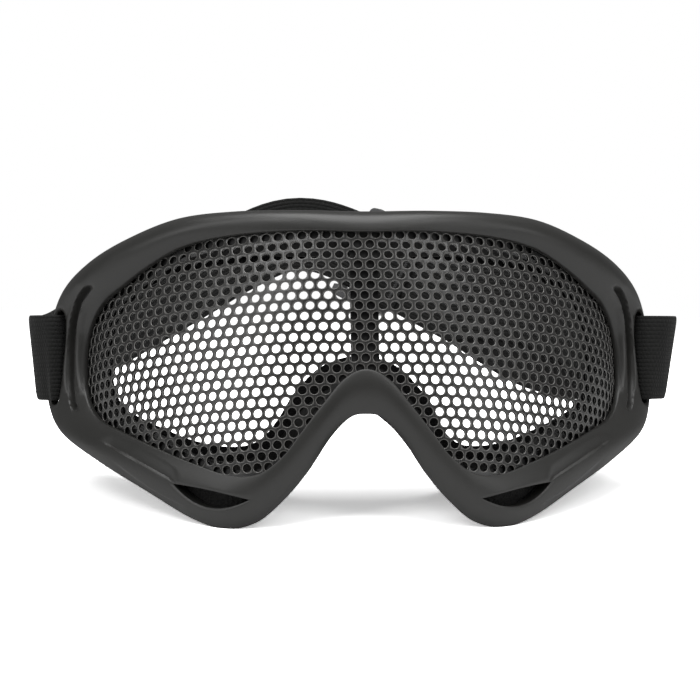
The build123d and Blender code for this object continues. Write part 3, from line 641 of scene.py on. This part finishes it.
centres = from_lattice(centre_step, lattice_row * ROW_PITCH)
room = clearance(centres, flat_lip)[0]
kept = room > -SHEET_EDGE - HOLE_PITCH
keys = np.stack([(4 * centre_step[kept, None] + CELL_STEPS).astype(int),
                 2 * lattice_row[kept, None] + CELL_HALVES], axis=-1)
corner_keys, corner_index = np.unique(keys.reshape(-1, 2), axis=0, return_inverse=True)
corner_index = corner_index.reshape(-1, HOLE_SIDES)
corner_flat = from_lattice(corner_keys[:, 0] / 4, corner_keys[:, 1] * ROW_PITCH / 2)
corner_room, corner_nearest = clearance(corner_flat, flat_edge)
corner_flat = np.where(corner_room[:, None] > 0, corner_flat, corner_nearest)
useful = (corner_room[corner_index] > 0).any(axis=1)
corner_index = corner_index[useful]
centres = centres[kept][useful]
punched = room[kept][useful] > -HOLE_MARGIN
angles = np.arange(HOLE_SIDES) * (2 * math.pi / HOLE_SIDES)
circle = np.stack([np.cos(angles), np.sin(angles)], axis=-1)
holes = centres[punched][:, None, :]
ring_size = len(holes) * HOLE_SIDES


def dished(flat, depth):
    """Point of the sheet pressed forwards in front of each eye by DISH_DEPTH (1 - (1 - t)^2), less
    FOLD_SHARE exp(-(x / FOLD_REACH)^2) of that; t is its distance from the lip as a share of DISH_REACH."""
    share = np.clip(clearance(flat, flat_lip)[0] / DISH_REACH, 0, 1)
    pressed = DISH_DEPTH * (1 - FOLD_SHARE * np.exp(-(flat[:, 0] / FOLD_REACH) ** 2))
    return on_sheet(flat, depth - pressed * (1 - (1 - share) ** 2))


front_corners = dished(corner_flat, 0)
back_corners = dished(corner_flat, SHEET_THICKNESS)
hole_rings = (
    (MOUTH_RADIUS, 0), ((MOUTH_RADIUS + HOLE_RADIUS) / 2, MOUTH_DEPTH / 3), (HOLE_RADIUS, MOUTH_DEPTH),
    (HOLE_RADIUS, SHEET_THICKNESS - MOUTH_DEPTH / 2), (HOLE_RADIUS + HOLE_FLARE, SHEET_THICKNESS),
)
rings = [dished((holes + circle * radius).reshape(-1, 2), depth) for radius, depth in hole_rings]
sheet_points = np.concatenate([front_corners, back_corners, *rings])
count = len(corner_flat)
first_ring = 2 * count
ring_index = np.arange(ring_size).reshape(-1, HOLE_SIDES)


def between(outer, inner):
    """Quads between two loops of points, given by their numbers."""
    next_outer, next_inner = np.roll(outer, -1, axis=1), np.roll(inner, -1, axis=1)
    return np.stack([outer, next_outer, next_inner, inner], axis=-1).reshape(-1, 4)


levels = [corner_index[punched]]
levels += [first_ring + ring_size * level + ring_index for level in range(len(hole_rings))]
levels.append(corner_index[punched] + count)
quads = [between(outer, inner) for outer, inner in zip(levels, levels[1:])]
blank = corner_index[~punched]
for strip in CELL_STRIPS:
    quads += [blank[:, strip], blank[:, strip[::-1]] + count]
all_front = between(corner_index, corner_index)[:, :2]
first_seen, times = np.unique(np.sort(all_front, axis=1), axis=0, return_index=True, return_counts=True)[1:]
start, end = all_front[first_seen[times == 1]].T
quads.append(np.stack([start, end, end + count, start + count], axis=-1))

paint = Finish("black_steel_paint", 0.02, (0.008, 0.008, 0.008), (0.015, 0.015, 0.0145), (0.2, 0.32),
               specular_ior_level=0.5)
# Each hole's mouth is painted paler, most on its middle ring: partly worn paint, partly a painted highlight
# of the light caught by the rim.
lit_and_worn_rims = new_node(paint.tree, "ShaderNodeAttribute", attribute_name="wear_and_highlight")
worn_and_highlighted_paint = two_colors(paint.tree, lit_and_worn_rims.outputs["Fac"], paint.color, WORN_AND_HIGHLIGHT_COLOR)
paint.tree.links.new(worn_and_highlighted_paint, paint.shader.inputs["Base Color"])
paint.bump(paint.texture("Noise", 1500, Detail=2), 0.00003, 0.5)
wear_and_highlight = np.zeros(len(sheet_points))
wear_and_highlight[first_ring:first_ring + len(WORN_AND_HIGHLIGHT_SHARES) * ring_size] = np.repeat(WORN_AND_HIGHLIGHT_SHARES, ring_size)
perforated = solid_piece("perforated_sheet", sheet_points, np.concatenate(quads), paint, smooth_angle=50,
                         wear_and_highlight=wear_and_highlight)
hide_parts("mesh_lens")
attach(perforated, "goggle_body")

# Retainer ring.
# A stiff ring of moulded black plastic with a centre post, clipped in behind the sheet. It keeps its solid's
# shape, and gets its finish here.
moulded = Finish("retainer_plastic", 0.015, (0.007, 0.007, 0.007), (0.013, 0.013, 0.013), (0.38, 0.55),
                 specular_ior_level=0.25)
moulded.bump(moulded.texture("Noise", 1800, Detail=2), 0.00004, 0.5)
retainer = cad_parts["lens_retainer"]
retainer.data.materials.clear()
retainer.data.materials.append(moulded.material)

# Face foam.
# A ring of black closed-cell foam, 9 mm thick, glued to the skirt's flange and crowned at the face.
# Its skin is a little uneven where it was cut.
FOAM_THICKNESS, FOAM_PROUD, FOAM_GAP = 9.0, 1.0, 0.1
FOAM_GRAIN, FOAM_RIPPLE = 0.12, 3.1
FOAM_COLUMNS_PER_ROW = 10


def rippled(points, size, depth):
    """Height of an uneven cut: depth times a product of three sines along x, y and z, of about that
    wavelength; the first and the last waver with z and with x."""
    x, y, z = np.moveaxis(points, -1, 0) * (2 * math.pi / size)
    first, last = np.sin(x + 1.3 * np.sin(0.7 * z)), np.sin(0.9 * z + 1.7 * np.sin(0.4 * x))
    return depth * first * np.sin(1.1 * y + 0.5) * last


def foam_back(ring):
    """Three points of the foam's crowned back, from its outer to its inner edge."""
    across = ring.opening - ring.seat
    return [ring.seat - ring.inward * (0.4 * FOAM_PROUD) + BACK * (0.88 * FOAM_THICKNESS),
            ring.seat + across * 0.35 + BACK * FOAM_THICKNESS,
            ring.seat + across * 0.75 + BACK * (0.94 * FOAM_THICKNESS)]


ring = Stations(even_rows(FOAM_COLUMNS_PER_ROW))
foam_corners = [
    ring.seat - ring.inward * FOAM_PROUD + BACK * FOAM_GAP,
    ring.seat - ring.inward * FOAM_PROUD + BACK * (0.5 * FOAM_THICKNESS), *foam_back(ring),
    ring.opening + BACK * (0.6 * FOAM_THICKNESS), ring.opening + BACK * FOAM_GAP,
]
foam_profile = eased(foam_corners, [0.4, 1.5, 2.2, 3, 2.5, 2, 0.4], [2, 4, 5, 4, 5, 4, 2])
foam_middle = foam_profile.mean(axis=0, keepdims=True)
foam_cut = FOAM_GRAIN + rippled(foam_profile, FOAM_RIPPLE, FOAM_GRAIN)
foam_profile = both_halves(foam_profile - unit(foam_profile - foam_middle) * foam_cut[..., None])
closed_foam = Finish("closed_foam", 0.006, (0.009, 0.009, 0.0095), (0.02, 0.02, 0.02), (0.75, 0.95),
                     specular_ior_level=0.15)
closed_foam.bump(closed_foam.texture("Voronoi", 1500, "Distance"), 0.0003, 0.8)
face_foam = solid_piece("face_foam_ring", foam_profile, grid_faces(*foam_profile.shape[:2]), closed_foam,
                        smooth_angle=60)
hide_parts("face_foam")
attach(face_foam, "goggle_body")

# Foam facing.
# A thin brushed knit laminated to the back of the foam, where it touches the face.
FACING_THICKNESS, FACING_BOW, FACING_POINTS = 0.7, 0.35, 9
PILE_RIPPLE, PILE_DEPTH = 1.3, 0.05
outer, middle, inner = foam_back(ring)
middle = middle + BACK * FACING_BOW
share = np.linspace(0, 1, FACING_POINTS)[:, None, None]
bow = outer * (1 - share) ** 2 + 2 * share * (1 - share) * middle + share**2 * inner
pile = rippled(bow, PILE_RIPPLE, PILE_DEPTH)[..., None] * BACK
raised = bow + BACK * (FOAM_GAP + FACING_THICKNESS) + pile
facing_profile = both_halves(np.concatenate([bow + BACK * FOAM_GAP, raised[::-1]]))
knit = Finish("facing_knit", 0.004, (0.013, 0.013, 0.0135), (0.026, 0.026, 0.027), (0.85, 1.0),
              sheen_weight=0.35, sheen_roughness=0.5)
knit.bump(knit.texture("Voronoi", 1250, "Distance"), 0.00025, 0.9)
facing = solid_piece("foam_facing_knit", facing_profile, grid_faces(*facing_profile.shape[:2]), knit,
                     smooth_angle=60)
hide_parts("foam_facing")
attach(facing, "goggle_body")

# Vent filters.
# A pad of coarse open-cell foam glued behind each cheek vent, to keep chips out.
FILTER_INSET, FILTER_HEIGHT, FILTER_THICKNESS, FILTER_GAP = 1.3, 8.6, 3.2, 0.5
FILTER_ROWS = (12.25, 14.95)
FILTER_COLUMNS, FILTER_STEPS = 61, (20, 8, 20, 8)
CELL_DEPTH, CELL_RIPPLES = 0.28, ((1.9, 1), (1.15, 0.6))


def end_caps(rows, columns, start=0):
    """The two end faces of a tube of rows by columns of points: the rows' first points and their last."""
    first = start + np.arange(rows) * columns
    return [first.tolist(), (first + columns - 1).tolist()]


ring = Stations(np.linspace(*FILTER_ROWS, FILTER_COLUMNS))
front = ring.out * (FLANGE + LIP_GAP + FILTER_GAP)
rear = front + ring.out * FILTER_THICKNESS
far = ring.lip + ring.across * (ring.root - SKIRT_WALL - FILTER_INSET)
near = far - ring.across * FILTER_HEIGHT
corners = [near - front, far - front, far - rear, near - rear]
filter_sides = []
for start, end, steps in zip(corners, corners[1:] + corners[:1], FILTER_STEPS):
    share = np.linspace(0, 1, steps, endpoint=False)[:, None, None]
    filter_sides.append(start + (end - start) * share)
filter_profile = np.concatenate(filter_sides)
inside = unit(filter_profile.mean(axis=(0, 1)) - filter_profile)
pits = sum(np.sqrt(np.abs(rippled(filter_profile, size, depth))) for size, depth in CELL_RIPPLES)
filter_profile = filter_profile + inside * (CELL_DEPTH * pits)[..., None]
open_foam = Finish("open_foam", 0.004, (0.01, 0.01, 0.01), (0.035, 0.035, 0.034), (0.8, 1.0),
                   specular_ior_level=0.25)
open_foam.bump(open_foam.texture("Voronoi", 900, "Distance"), 0.0006, 1.0)
rows, columns = filter_profile.shape[:2]
for side_name, mirror in SIDES:
    pad = solid_piece("vent_foam_" + side_name, filter_profile * mirror,
                      grid_faces(rows, columns, closed_columns=False), open_foam, smooth_angle=60,
                      ends=end_caps(rows, columns))
    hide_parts("vent_filter_" + side_name)
    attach(pad, "goggle_body")

# Elastic strap.
# Woven elastic webbing, 26 mm wide, which passes out through each slot round the frame's bar and back on
# itself. The end on the wearer's right is sewn down; the rest runs round the head to the slider.
STRAP_WIDTH, STRAP_THICKNESS, PLY_OFFSET = 26.0, 1.3, 1.5
WRAP_LEVEL = SLOT_LEVEL - STRAP_WIDTH / 2
# Points of the lower edge, x, y and z in mm; the bar wrap's are x and y of the left side.
LEFT_OUTER = np.array([
    (99.8, 64.5, 35.69), (96, 76.3, 35.69), (88.2, 91.5, 34), (76.7, 108.1, 34.8), (63.3, 122.5, 38.5),
    (50.5, 133.4, 46.4),
])
STRAIGHT_START, STRAIGHT_END = np.array([37.9, 139.5, 55.1]), np.array([0.3, 155.1, 76.4])
RIGHT_OUTER = np.array([
    (-12.7, 157.3, 79.3), (-27.8, 154.9, 72.8), (-42.6, 149.9, 64), (-59.3, 141.9, 54), (-76, 129, 44.5),
    (-88.9, 112.9, 40.5), (-96.4, 93.9, 37), (-99.2, 76, 35.69), (-99.8, 64.5, 35.69),
])
BAR_WRAP = np.array([
    (96.9, 72.03), (93.85, 66.54), (90.28, 62.94), (87.37, 60.25), (86.07, 57.57), (86.47, 54.9),
    (88.18, 52.81), (89.88, 50.6), (92.18, 49.86), (95.19, 51.28), (98.2, 54.21), (99.9, 58.04),
])
# The left inner ply takes a straighter way: shares of the width above the outer ply, and of PLY_OFFSET in.
FAN = np.array([(0, 1), (0.16, 1.35), (0.46, 1.8), (0.6, 1.8), (0.33, 1.4), (0, 1)])
SEWN_ROWS = 2
SMOOTH_PARTS, STRAIGHT_POINTS, LEAD_SHARE = 8, 12, 0.3
# The two tabs lean outwards at the top, and the one on the wearer's right lies closer to the frame.
TAB_START, TAB_FULL, TAB_LEANS, TAB_SHIFTS = 91.0, 96.5, (0.1, 0.15), (-2.2, 0.7)


def smooth_through(points, before=None, after=None):
    """Smooth curve through points: between b and c it is
    (2b + (c-a)t + (2a-5b+4c-d)t^2 + (3b-a-3c+d)t^3) / 2, with t in SMOOTH_PARTS steps."""
    first = points[:1] if before is None else [before]
    last = points[-1:] if after is None else [after]
    ends = np.concatenate([first, points, last])
    a, b, c, d = (ends[step:len(ends) - 3 + step, None] for step in range(4))
    t = (np.arange(SMOOTH_PARTS) / SMOOTH_PARTS)[None, :, None]
    curve = (2 * b + (c - a) * t + (2 * a - 5 * b + 4 * c - d) * t**2 + (3 * b - a - 3 * c + d) * t**3) / 2
    return np.concatenate([curve.reshape(-1, 3), points[-1:]])


def band_sides(points):
    """Outward and upward directions of a band at each point of its lower edge: outward is level."""
    ends = np.concatenate([points[:1], points, points[-1:]])
    along = unit(ends[2:] - ends[:-2])
    outward = unit(np.stack([along[:, 1], -along[:, 0], 0 * along[:, 0]], axis=-1))
    return outward, unit(np.cross(outward, along))


wrap_left = np.column_stack([BAR_WRAP, np.full(len(BAR_WRAP), WRAP_LEVEL)])
wrap_right = wrap_left[::-1] * MIRROR
straight_step = (STRAIGHT_END - STRAIGHT_START) * LEAD_SHARE
outer_line = np.vstack([LEFT_OUTER, STRAIGHT_START])
left_outward = band_sides(np.vstack([outer_line, STRAIGHT_START + straight_step]))[0][1:-1]
left_inner = outer_line[1:] + straight_up * (FAN[:, :1] * STRAP_WIDTH)
left_inner = left_inner - left_outward * (FAN[:, 1:] * PLY_OFFSET)
right_line = np.vstack([STRAIGHT_END, RIGHT_OUTER])
right_inner = (right_line - band_sides(right_line)[0] * PLY_OFFSET)[-1 - SEWN_ROWS:-1]
left_path = smooth_through(np.vstack([left_inner[::-1], wrap_left, LEFT_OUTER, STRAIGHT_START]),
                           left_inner[-1] + straight_step, STRAIGHT_START + straight_step)
right_path = smooth_through(np.vstack([STRAIGHT_END, RIGHT_OUTER, wrap_right, right_inner[::-1]]),
                            STRAIGHT_END - straight_step)
straight_shares = np.linspace(0, 1, STRAIGHT_POINTS)[:, None]
between_points = STRAIGHT_START + (STRAIGHT_END - STRAIGHT_START) * straight_shares[1:-1]
strap_path = np.vstack([left_path, between_points, right_path])
WEB_HALF_SECTION, WEB_EDGE_POWER = 22, 12


def webbing(name, path, outward, upward):
    """A band carried along its lower edge and its length: at v, from -1 to 1 across its width, it is
    sqrt(1 - |v|^12) of its thickness. Its UV map holds mm along and across, which the weave follows."""
    v = np.sin(np.linspace(-0.5, 0.5, WEB_HALF_SECTION) * math.pi)
    bulge = np.sqrt(np.clip(1 - np.abs(v) ** WEB_EDGE_POWER, 0, 1)) * STRAP_THICKNESS / 2
    height = (v + 1) * STRAP_WIDTH / 2
    section_height = np.concatenate([height, height[-2:0:-1]])
    section_out = np.concatenate([bulge, -bulge[-2:0:-1]])
    points = path + upward * section_height[:, None, None] + outward * section_out[:, None, None]
    rows, columns = points.shape[:2]
    run = np.concatenate([[0], np.cumsum(np.linalg.norm(np.diff(path, axis=0), axis=-1))])
    chart = np.stack([np.tile(run, rows), np.repeat(section_height, columns)], axis=-1)
    piece = solid_piece(name, points, grid_faces(rows, columns, closed_columns=False), web, smooth_angle=50,
                        ends=end_caps(rows, columns), chart=chart)
    return piece, run[-1]


web = Finish("elastic_web", 0.012, (0.007, 0.0072, 0.007), (0.016, 0.0162, 0.0155), (0.78, 0.95),
             specular_ior_level=0.18, sheen_weight=0.05, sheen_roughness=0.5)
weave_place = new_node(web.tree, "ShaderNodeUVMap", uv_map="weave")
split = new_node(web.tree, "ShaderNodeSeparateXYZ", {0: weave_place.outputs[0]})


def maths(operation, first, second=None):
    """A Math node of the web; each input is a socket or a number."""
    node = new_node(web.tree, "ShaderNodeMath", operation=operation)
    for index, value in enumerate((first, second)):
        if hasattr(value, "links"):
            web.tree.links.new(value, node.inputs[index])
        elif value is not None:
            node.inputs[index].default_value = value
    return node.outputs[0]


RIB_SPACING, PICK_SPACING, PICK_SHARE = 1.25, 0.85, 0.55
rib_count = maths("DIVIDE", split.outputs["Y"], RIB_SPACING)
rib = maths("ABSOLUTE", maths("SINE", maths("MULTIPLY", rib_count, math.pi)))
stagger = maths("MULTIPLY", maths("FLOOR", rib_count), math.pi / 2)
pick_turn = maths("ADD", maths("MULTIPLY", split.outputs["X"], math.pi / PICK_SPACING), stagger)
pick = maths("ABSOLUTE", maths("SINE", pick_turn))
yarn = maths("MULTIPLY", rib, maths("ADD", maths("MULTIPLY", pick, PICK_SHARE), 1 - PICK_SHARE))
web.bump(yarn, 0.0003, 0.9)
outward, upward = band_sides(strap_path)
sideways = np.sign(strap_path[:, :1]) * X_AXIS
beside = smooth_step((np.abs(strap_path[:, :1]) - TAB_START) / (TAB_FULL - TAB_START))
lean, shift = (np.where(strap_path[:, :1] < 0, *pair) for pair in (TAB_LEANS, TAB_SHIFTS))
strap_path = strap_path + sideways * beside * (shift - lean * STRAP_WIDTH / 2)
upward = upward + sideways * beside * lean
strap, strap_length = webbing("head_strap_webbing", strap_path, outward, upward)
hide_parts("elastic_strap")
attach(strap, "head_strap")

# Return ply.
# The strap's own inner layer between the slider and the point where it lies on the outer one.
# It stretches as the slider is moved.
PLY_GAP = 0.2
SLIDER_X = 10.6
SLIDER_LENGTH, SLIDER_BAR, SLIDER_PLATE, RUNNING_GAP = 20.0, 3.4, 1.6, 0.2
LOOP_REACH = SLIDER_LENGTH * 0.66
to_left = unit(STRAIGHT_START - STRAIGHT_END)
straight_sides = band_sides(np.stack([STRAIGHT_START, STRAIGHT_END]))
straight_outward, straight_upward = (side[0] for side in straight_sides)
slider_share = (SLIDER_X - STRAIGHT_END[0]) / (STRAIGHT_START[0] - STRAIGHT_END[0])
slider_foot = STRAIGHT_END + (STRAIGHT_START - STRAIGHT_END) * slider_share
ply_start = slider_foot + to_left * (LOOP_REACH + PLY_GAP) - straight_outward * PLY_OFFSET
ply_end = STRAIGHT_START - to_left * PLY_GAP - straight_outward * PLY_OFFSET
ply_path = ply_end + (ply_start - ply_end) * straight_shares
ply_sides = [np.tile(side, (len(ply_path), 1)) for side in (straight_outward, straight_upward)]
ply, ply_length = webbing("return_ply_webbing", ply_path, *ply_sides)
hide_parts("strap_return_ply")
middle_up = straight_upward * STRAP_WIDTH / 2
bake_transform(ply)

# Slider.
# A glossy moulded adjuster that the strap runs through; the sewn end goes round its middle bar.
gloss = Finish("slider_plastic", 0.01, (0.05, 0.05, 0.052), (0.09, 0.09, 0.092), (0.16, 0.3),
               specular_ior_level=0.6)
gloss.bump(gloss.texture("Noise", 500, Detail=2), 0.00002, 0.5)
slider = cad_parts["strap_slider"]
slider.data.materials.clear()
slider.data.materials.append(gloss.material)

# Sewn end round the slider's bar.
# The strap's own end, folded round the middle bar and sewn to the inner ply.
LOOP_RADIUS, LOOP_TURN_STEPS, LOOP_BACK_STEPS, LOOP_TAPER_SHARE = 1.3, 8, 6, 0.6
half_ply = STRAP_THICKNESS / 2
bar_level = half_ply + RUNNING_GAP + STRAP_THICKNESS + RUNNING_GAP
loop_turn = SLIDER_BAR / 2 + RUNNING_GAP + half_ply
low_level = bar_level + SLIDER_PLATE + RUNNING_GAP + half_ply
loop_corners = np.array([
    (LOOP_REACH, -PLY_OFFSET), (-loop_turn, -PLY_OFFSET), (-loop_turn, -low_level), (SLIDER_BAR, -low_level),
    (LOOP_REACH * LOOP_TAPER_SHARE, -2 * PLY_OFFSET), (LOOP_REACH, -2 * PLY_OFFSET),
])
loop_radii = [0, LOOP_RADIUS, LOOP_RADIUS, LOOP_RADIUS, LOOP_RADIUS, 0]
loop_steps = [0, LOOP_TURN_STEPS, LOOP_TURN_STEPS, LOOP_BACK_STEPS, LOOP_BACK_STEPS, 0]
loop_line = eased([corner[None] for corner in loop_corners], loop_radii, loop_steps)[:, 0]
loop_path = slider_foot + loop_line[:, :1] * to_left + loop_line[:, 1:] * straight_outward
turned = unit(np.gradient(loop_line, axis=0))
loop_outward = turned[:, 1:] * to_left - turned[:, :1] * straight_outward
loop_upward = np.tile(straight_upward, (len(loop_path), 1))
end_loop, loop_length = webbing("sewn_end_webbing", loop_path, loop_outward, loop_upward)
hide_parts("strap_end_loop")
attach(end_loop, "slider")

# Bar tacks.
# Rows of tight zigzag thread that hold the two sewn ends.
TACK_HEIGHT, TACK_WIDTH, TACK_SPACING, THREAD_RADIUS = 21.0, 1.6, 7.0, 0.17
TACK_TURNS, THREAD_SIDES, THREAD_SUNK_SHARE, TACK_PLACE_SHARE = 26, 6, 0.8, 0.8
thread = Finish("black_thread", 0.002, (0.022, 0.022, 0.022), (0.045, 0.045, 0.045), (0.5, 0.7),
                sheen_weight=0.2)
thread.bump(thread.texture("Wave", 900), 0.00008, 0.7)


def zigzag(name, origin, side, upward, out, offsets):
    """Thread tubes: a zigzag of TACK_TURNS strokes, TACK_WIDTH wide and TACK_HEIGHT high, at each offset."""
    step = np.arange(2 * TACK_TURNS + 1)
    x = np.where(step % 2 == 0, -0.5, 0.5) * (TACK_WIDTH - 2 * THREAD_RADIUS)
    z = (step / (2 * TACK_TURNS) - 0.5) * (TACK_HEIGHT - 2 * THREAD_RADIUS)
    line = origin + x[:, None] * side + z[:, None] * upward
    around = np.arange(THREAD_SIDES) * (2 * math.pi / THREAD_SIDES)
    circle = (np.cos(around)[:, None] * upward + np.sin(around)[:, None] * out) * THREAD_RADIUS
    tube = line + circle[:, None]
    rows, columns = tube.shape[:2]
    points, faces, ends = [], [], []
    for number, offset in enumerate(offsets):
        start = number * rows * columns
        points.append(tube + side * offset)
        faces.append(grid_faces(rows, columns, closed_columns=False) + start)
        ends += end_caps(rows, columns, start)
    return solid_piece(name, np.stack(points), np.concatenate(faces), thread, smooth_angle=60, ends=ends)


sewn_row = len(strap_path) - len(right_path) + SMOOTH_PARTS * (len(RIGHT_OUTER) - SEWN_ROWS)
sewn_out, sewn_up = outward[sewn_row], unit(upward[sewn_row])
sewn_along = unit(np.cross(sewn_up, sewn_out))
surface = half_ply + THREAD_RADIUS * THREAD_SUNK_SHARE
sewn_centre = strap_path[sewn_row] + sewn_up * STRAP_WIDTH / 2 + sewn_out * surface
frame_tacks = zigzag("frame_end_thread", sewn_centre, sewn_along, sewn_up, sewn_out,
                     (-TACK_SPACING / 2, TACK_SPACING / 2))
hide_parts("frame_loop_stitches")
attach(frame_tacks, "head_strap")
tack_centre = slider_foot + middle_up + to_left * LOOP_REACH * TACK_PLACE_SHARE
tack_centre = tack_centre - straight_outward * (2 * PLY_OFFSET + surface)
slider_tack = zigzag("slider_end_thread", tack_centre, to_left, straight_upward, -straight_outward, (0,))
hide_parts("slider_loop_stitches")
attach(slider_tack, "slider")
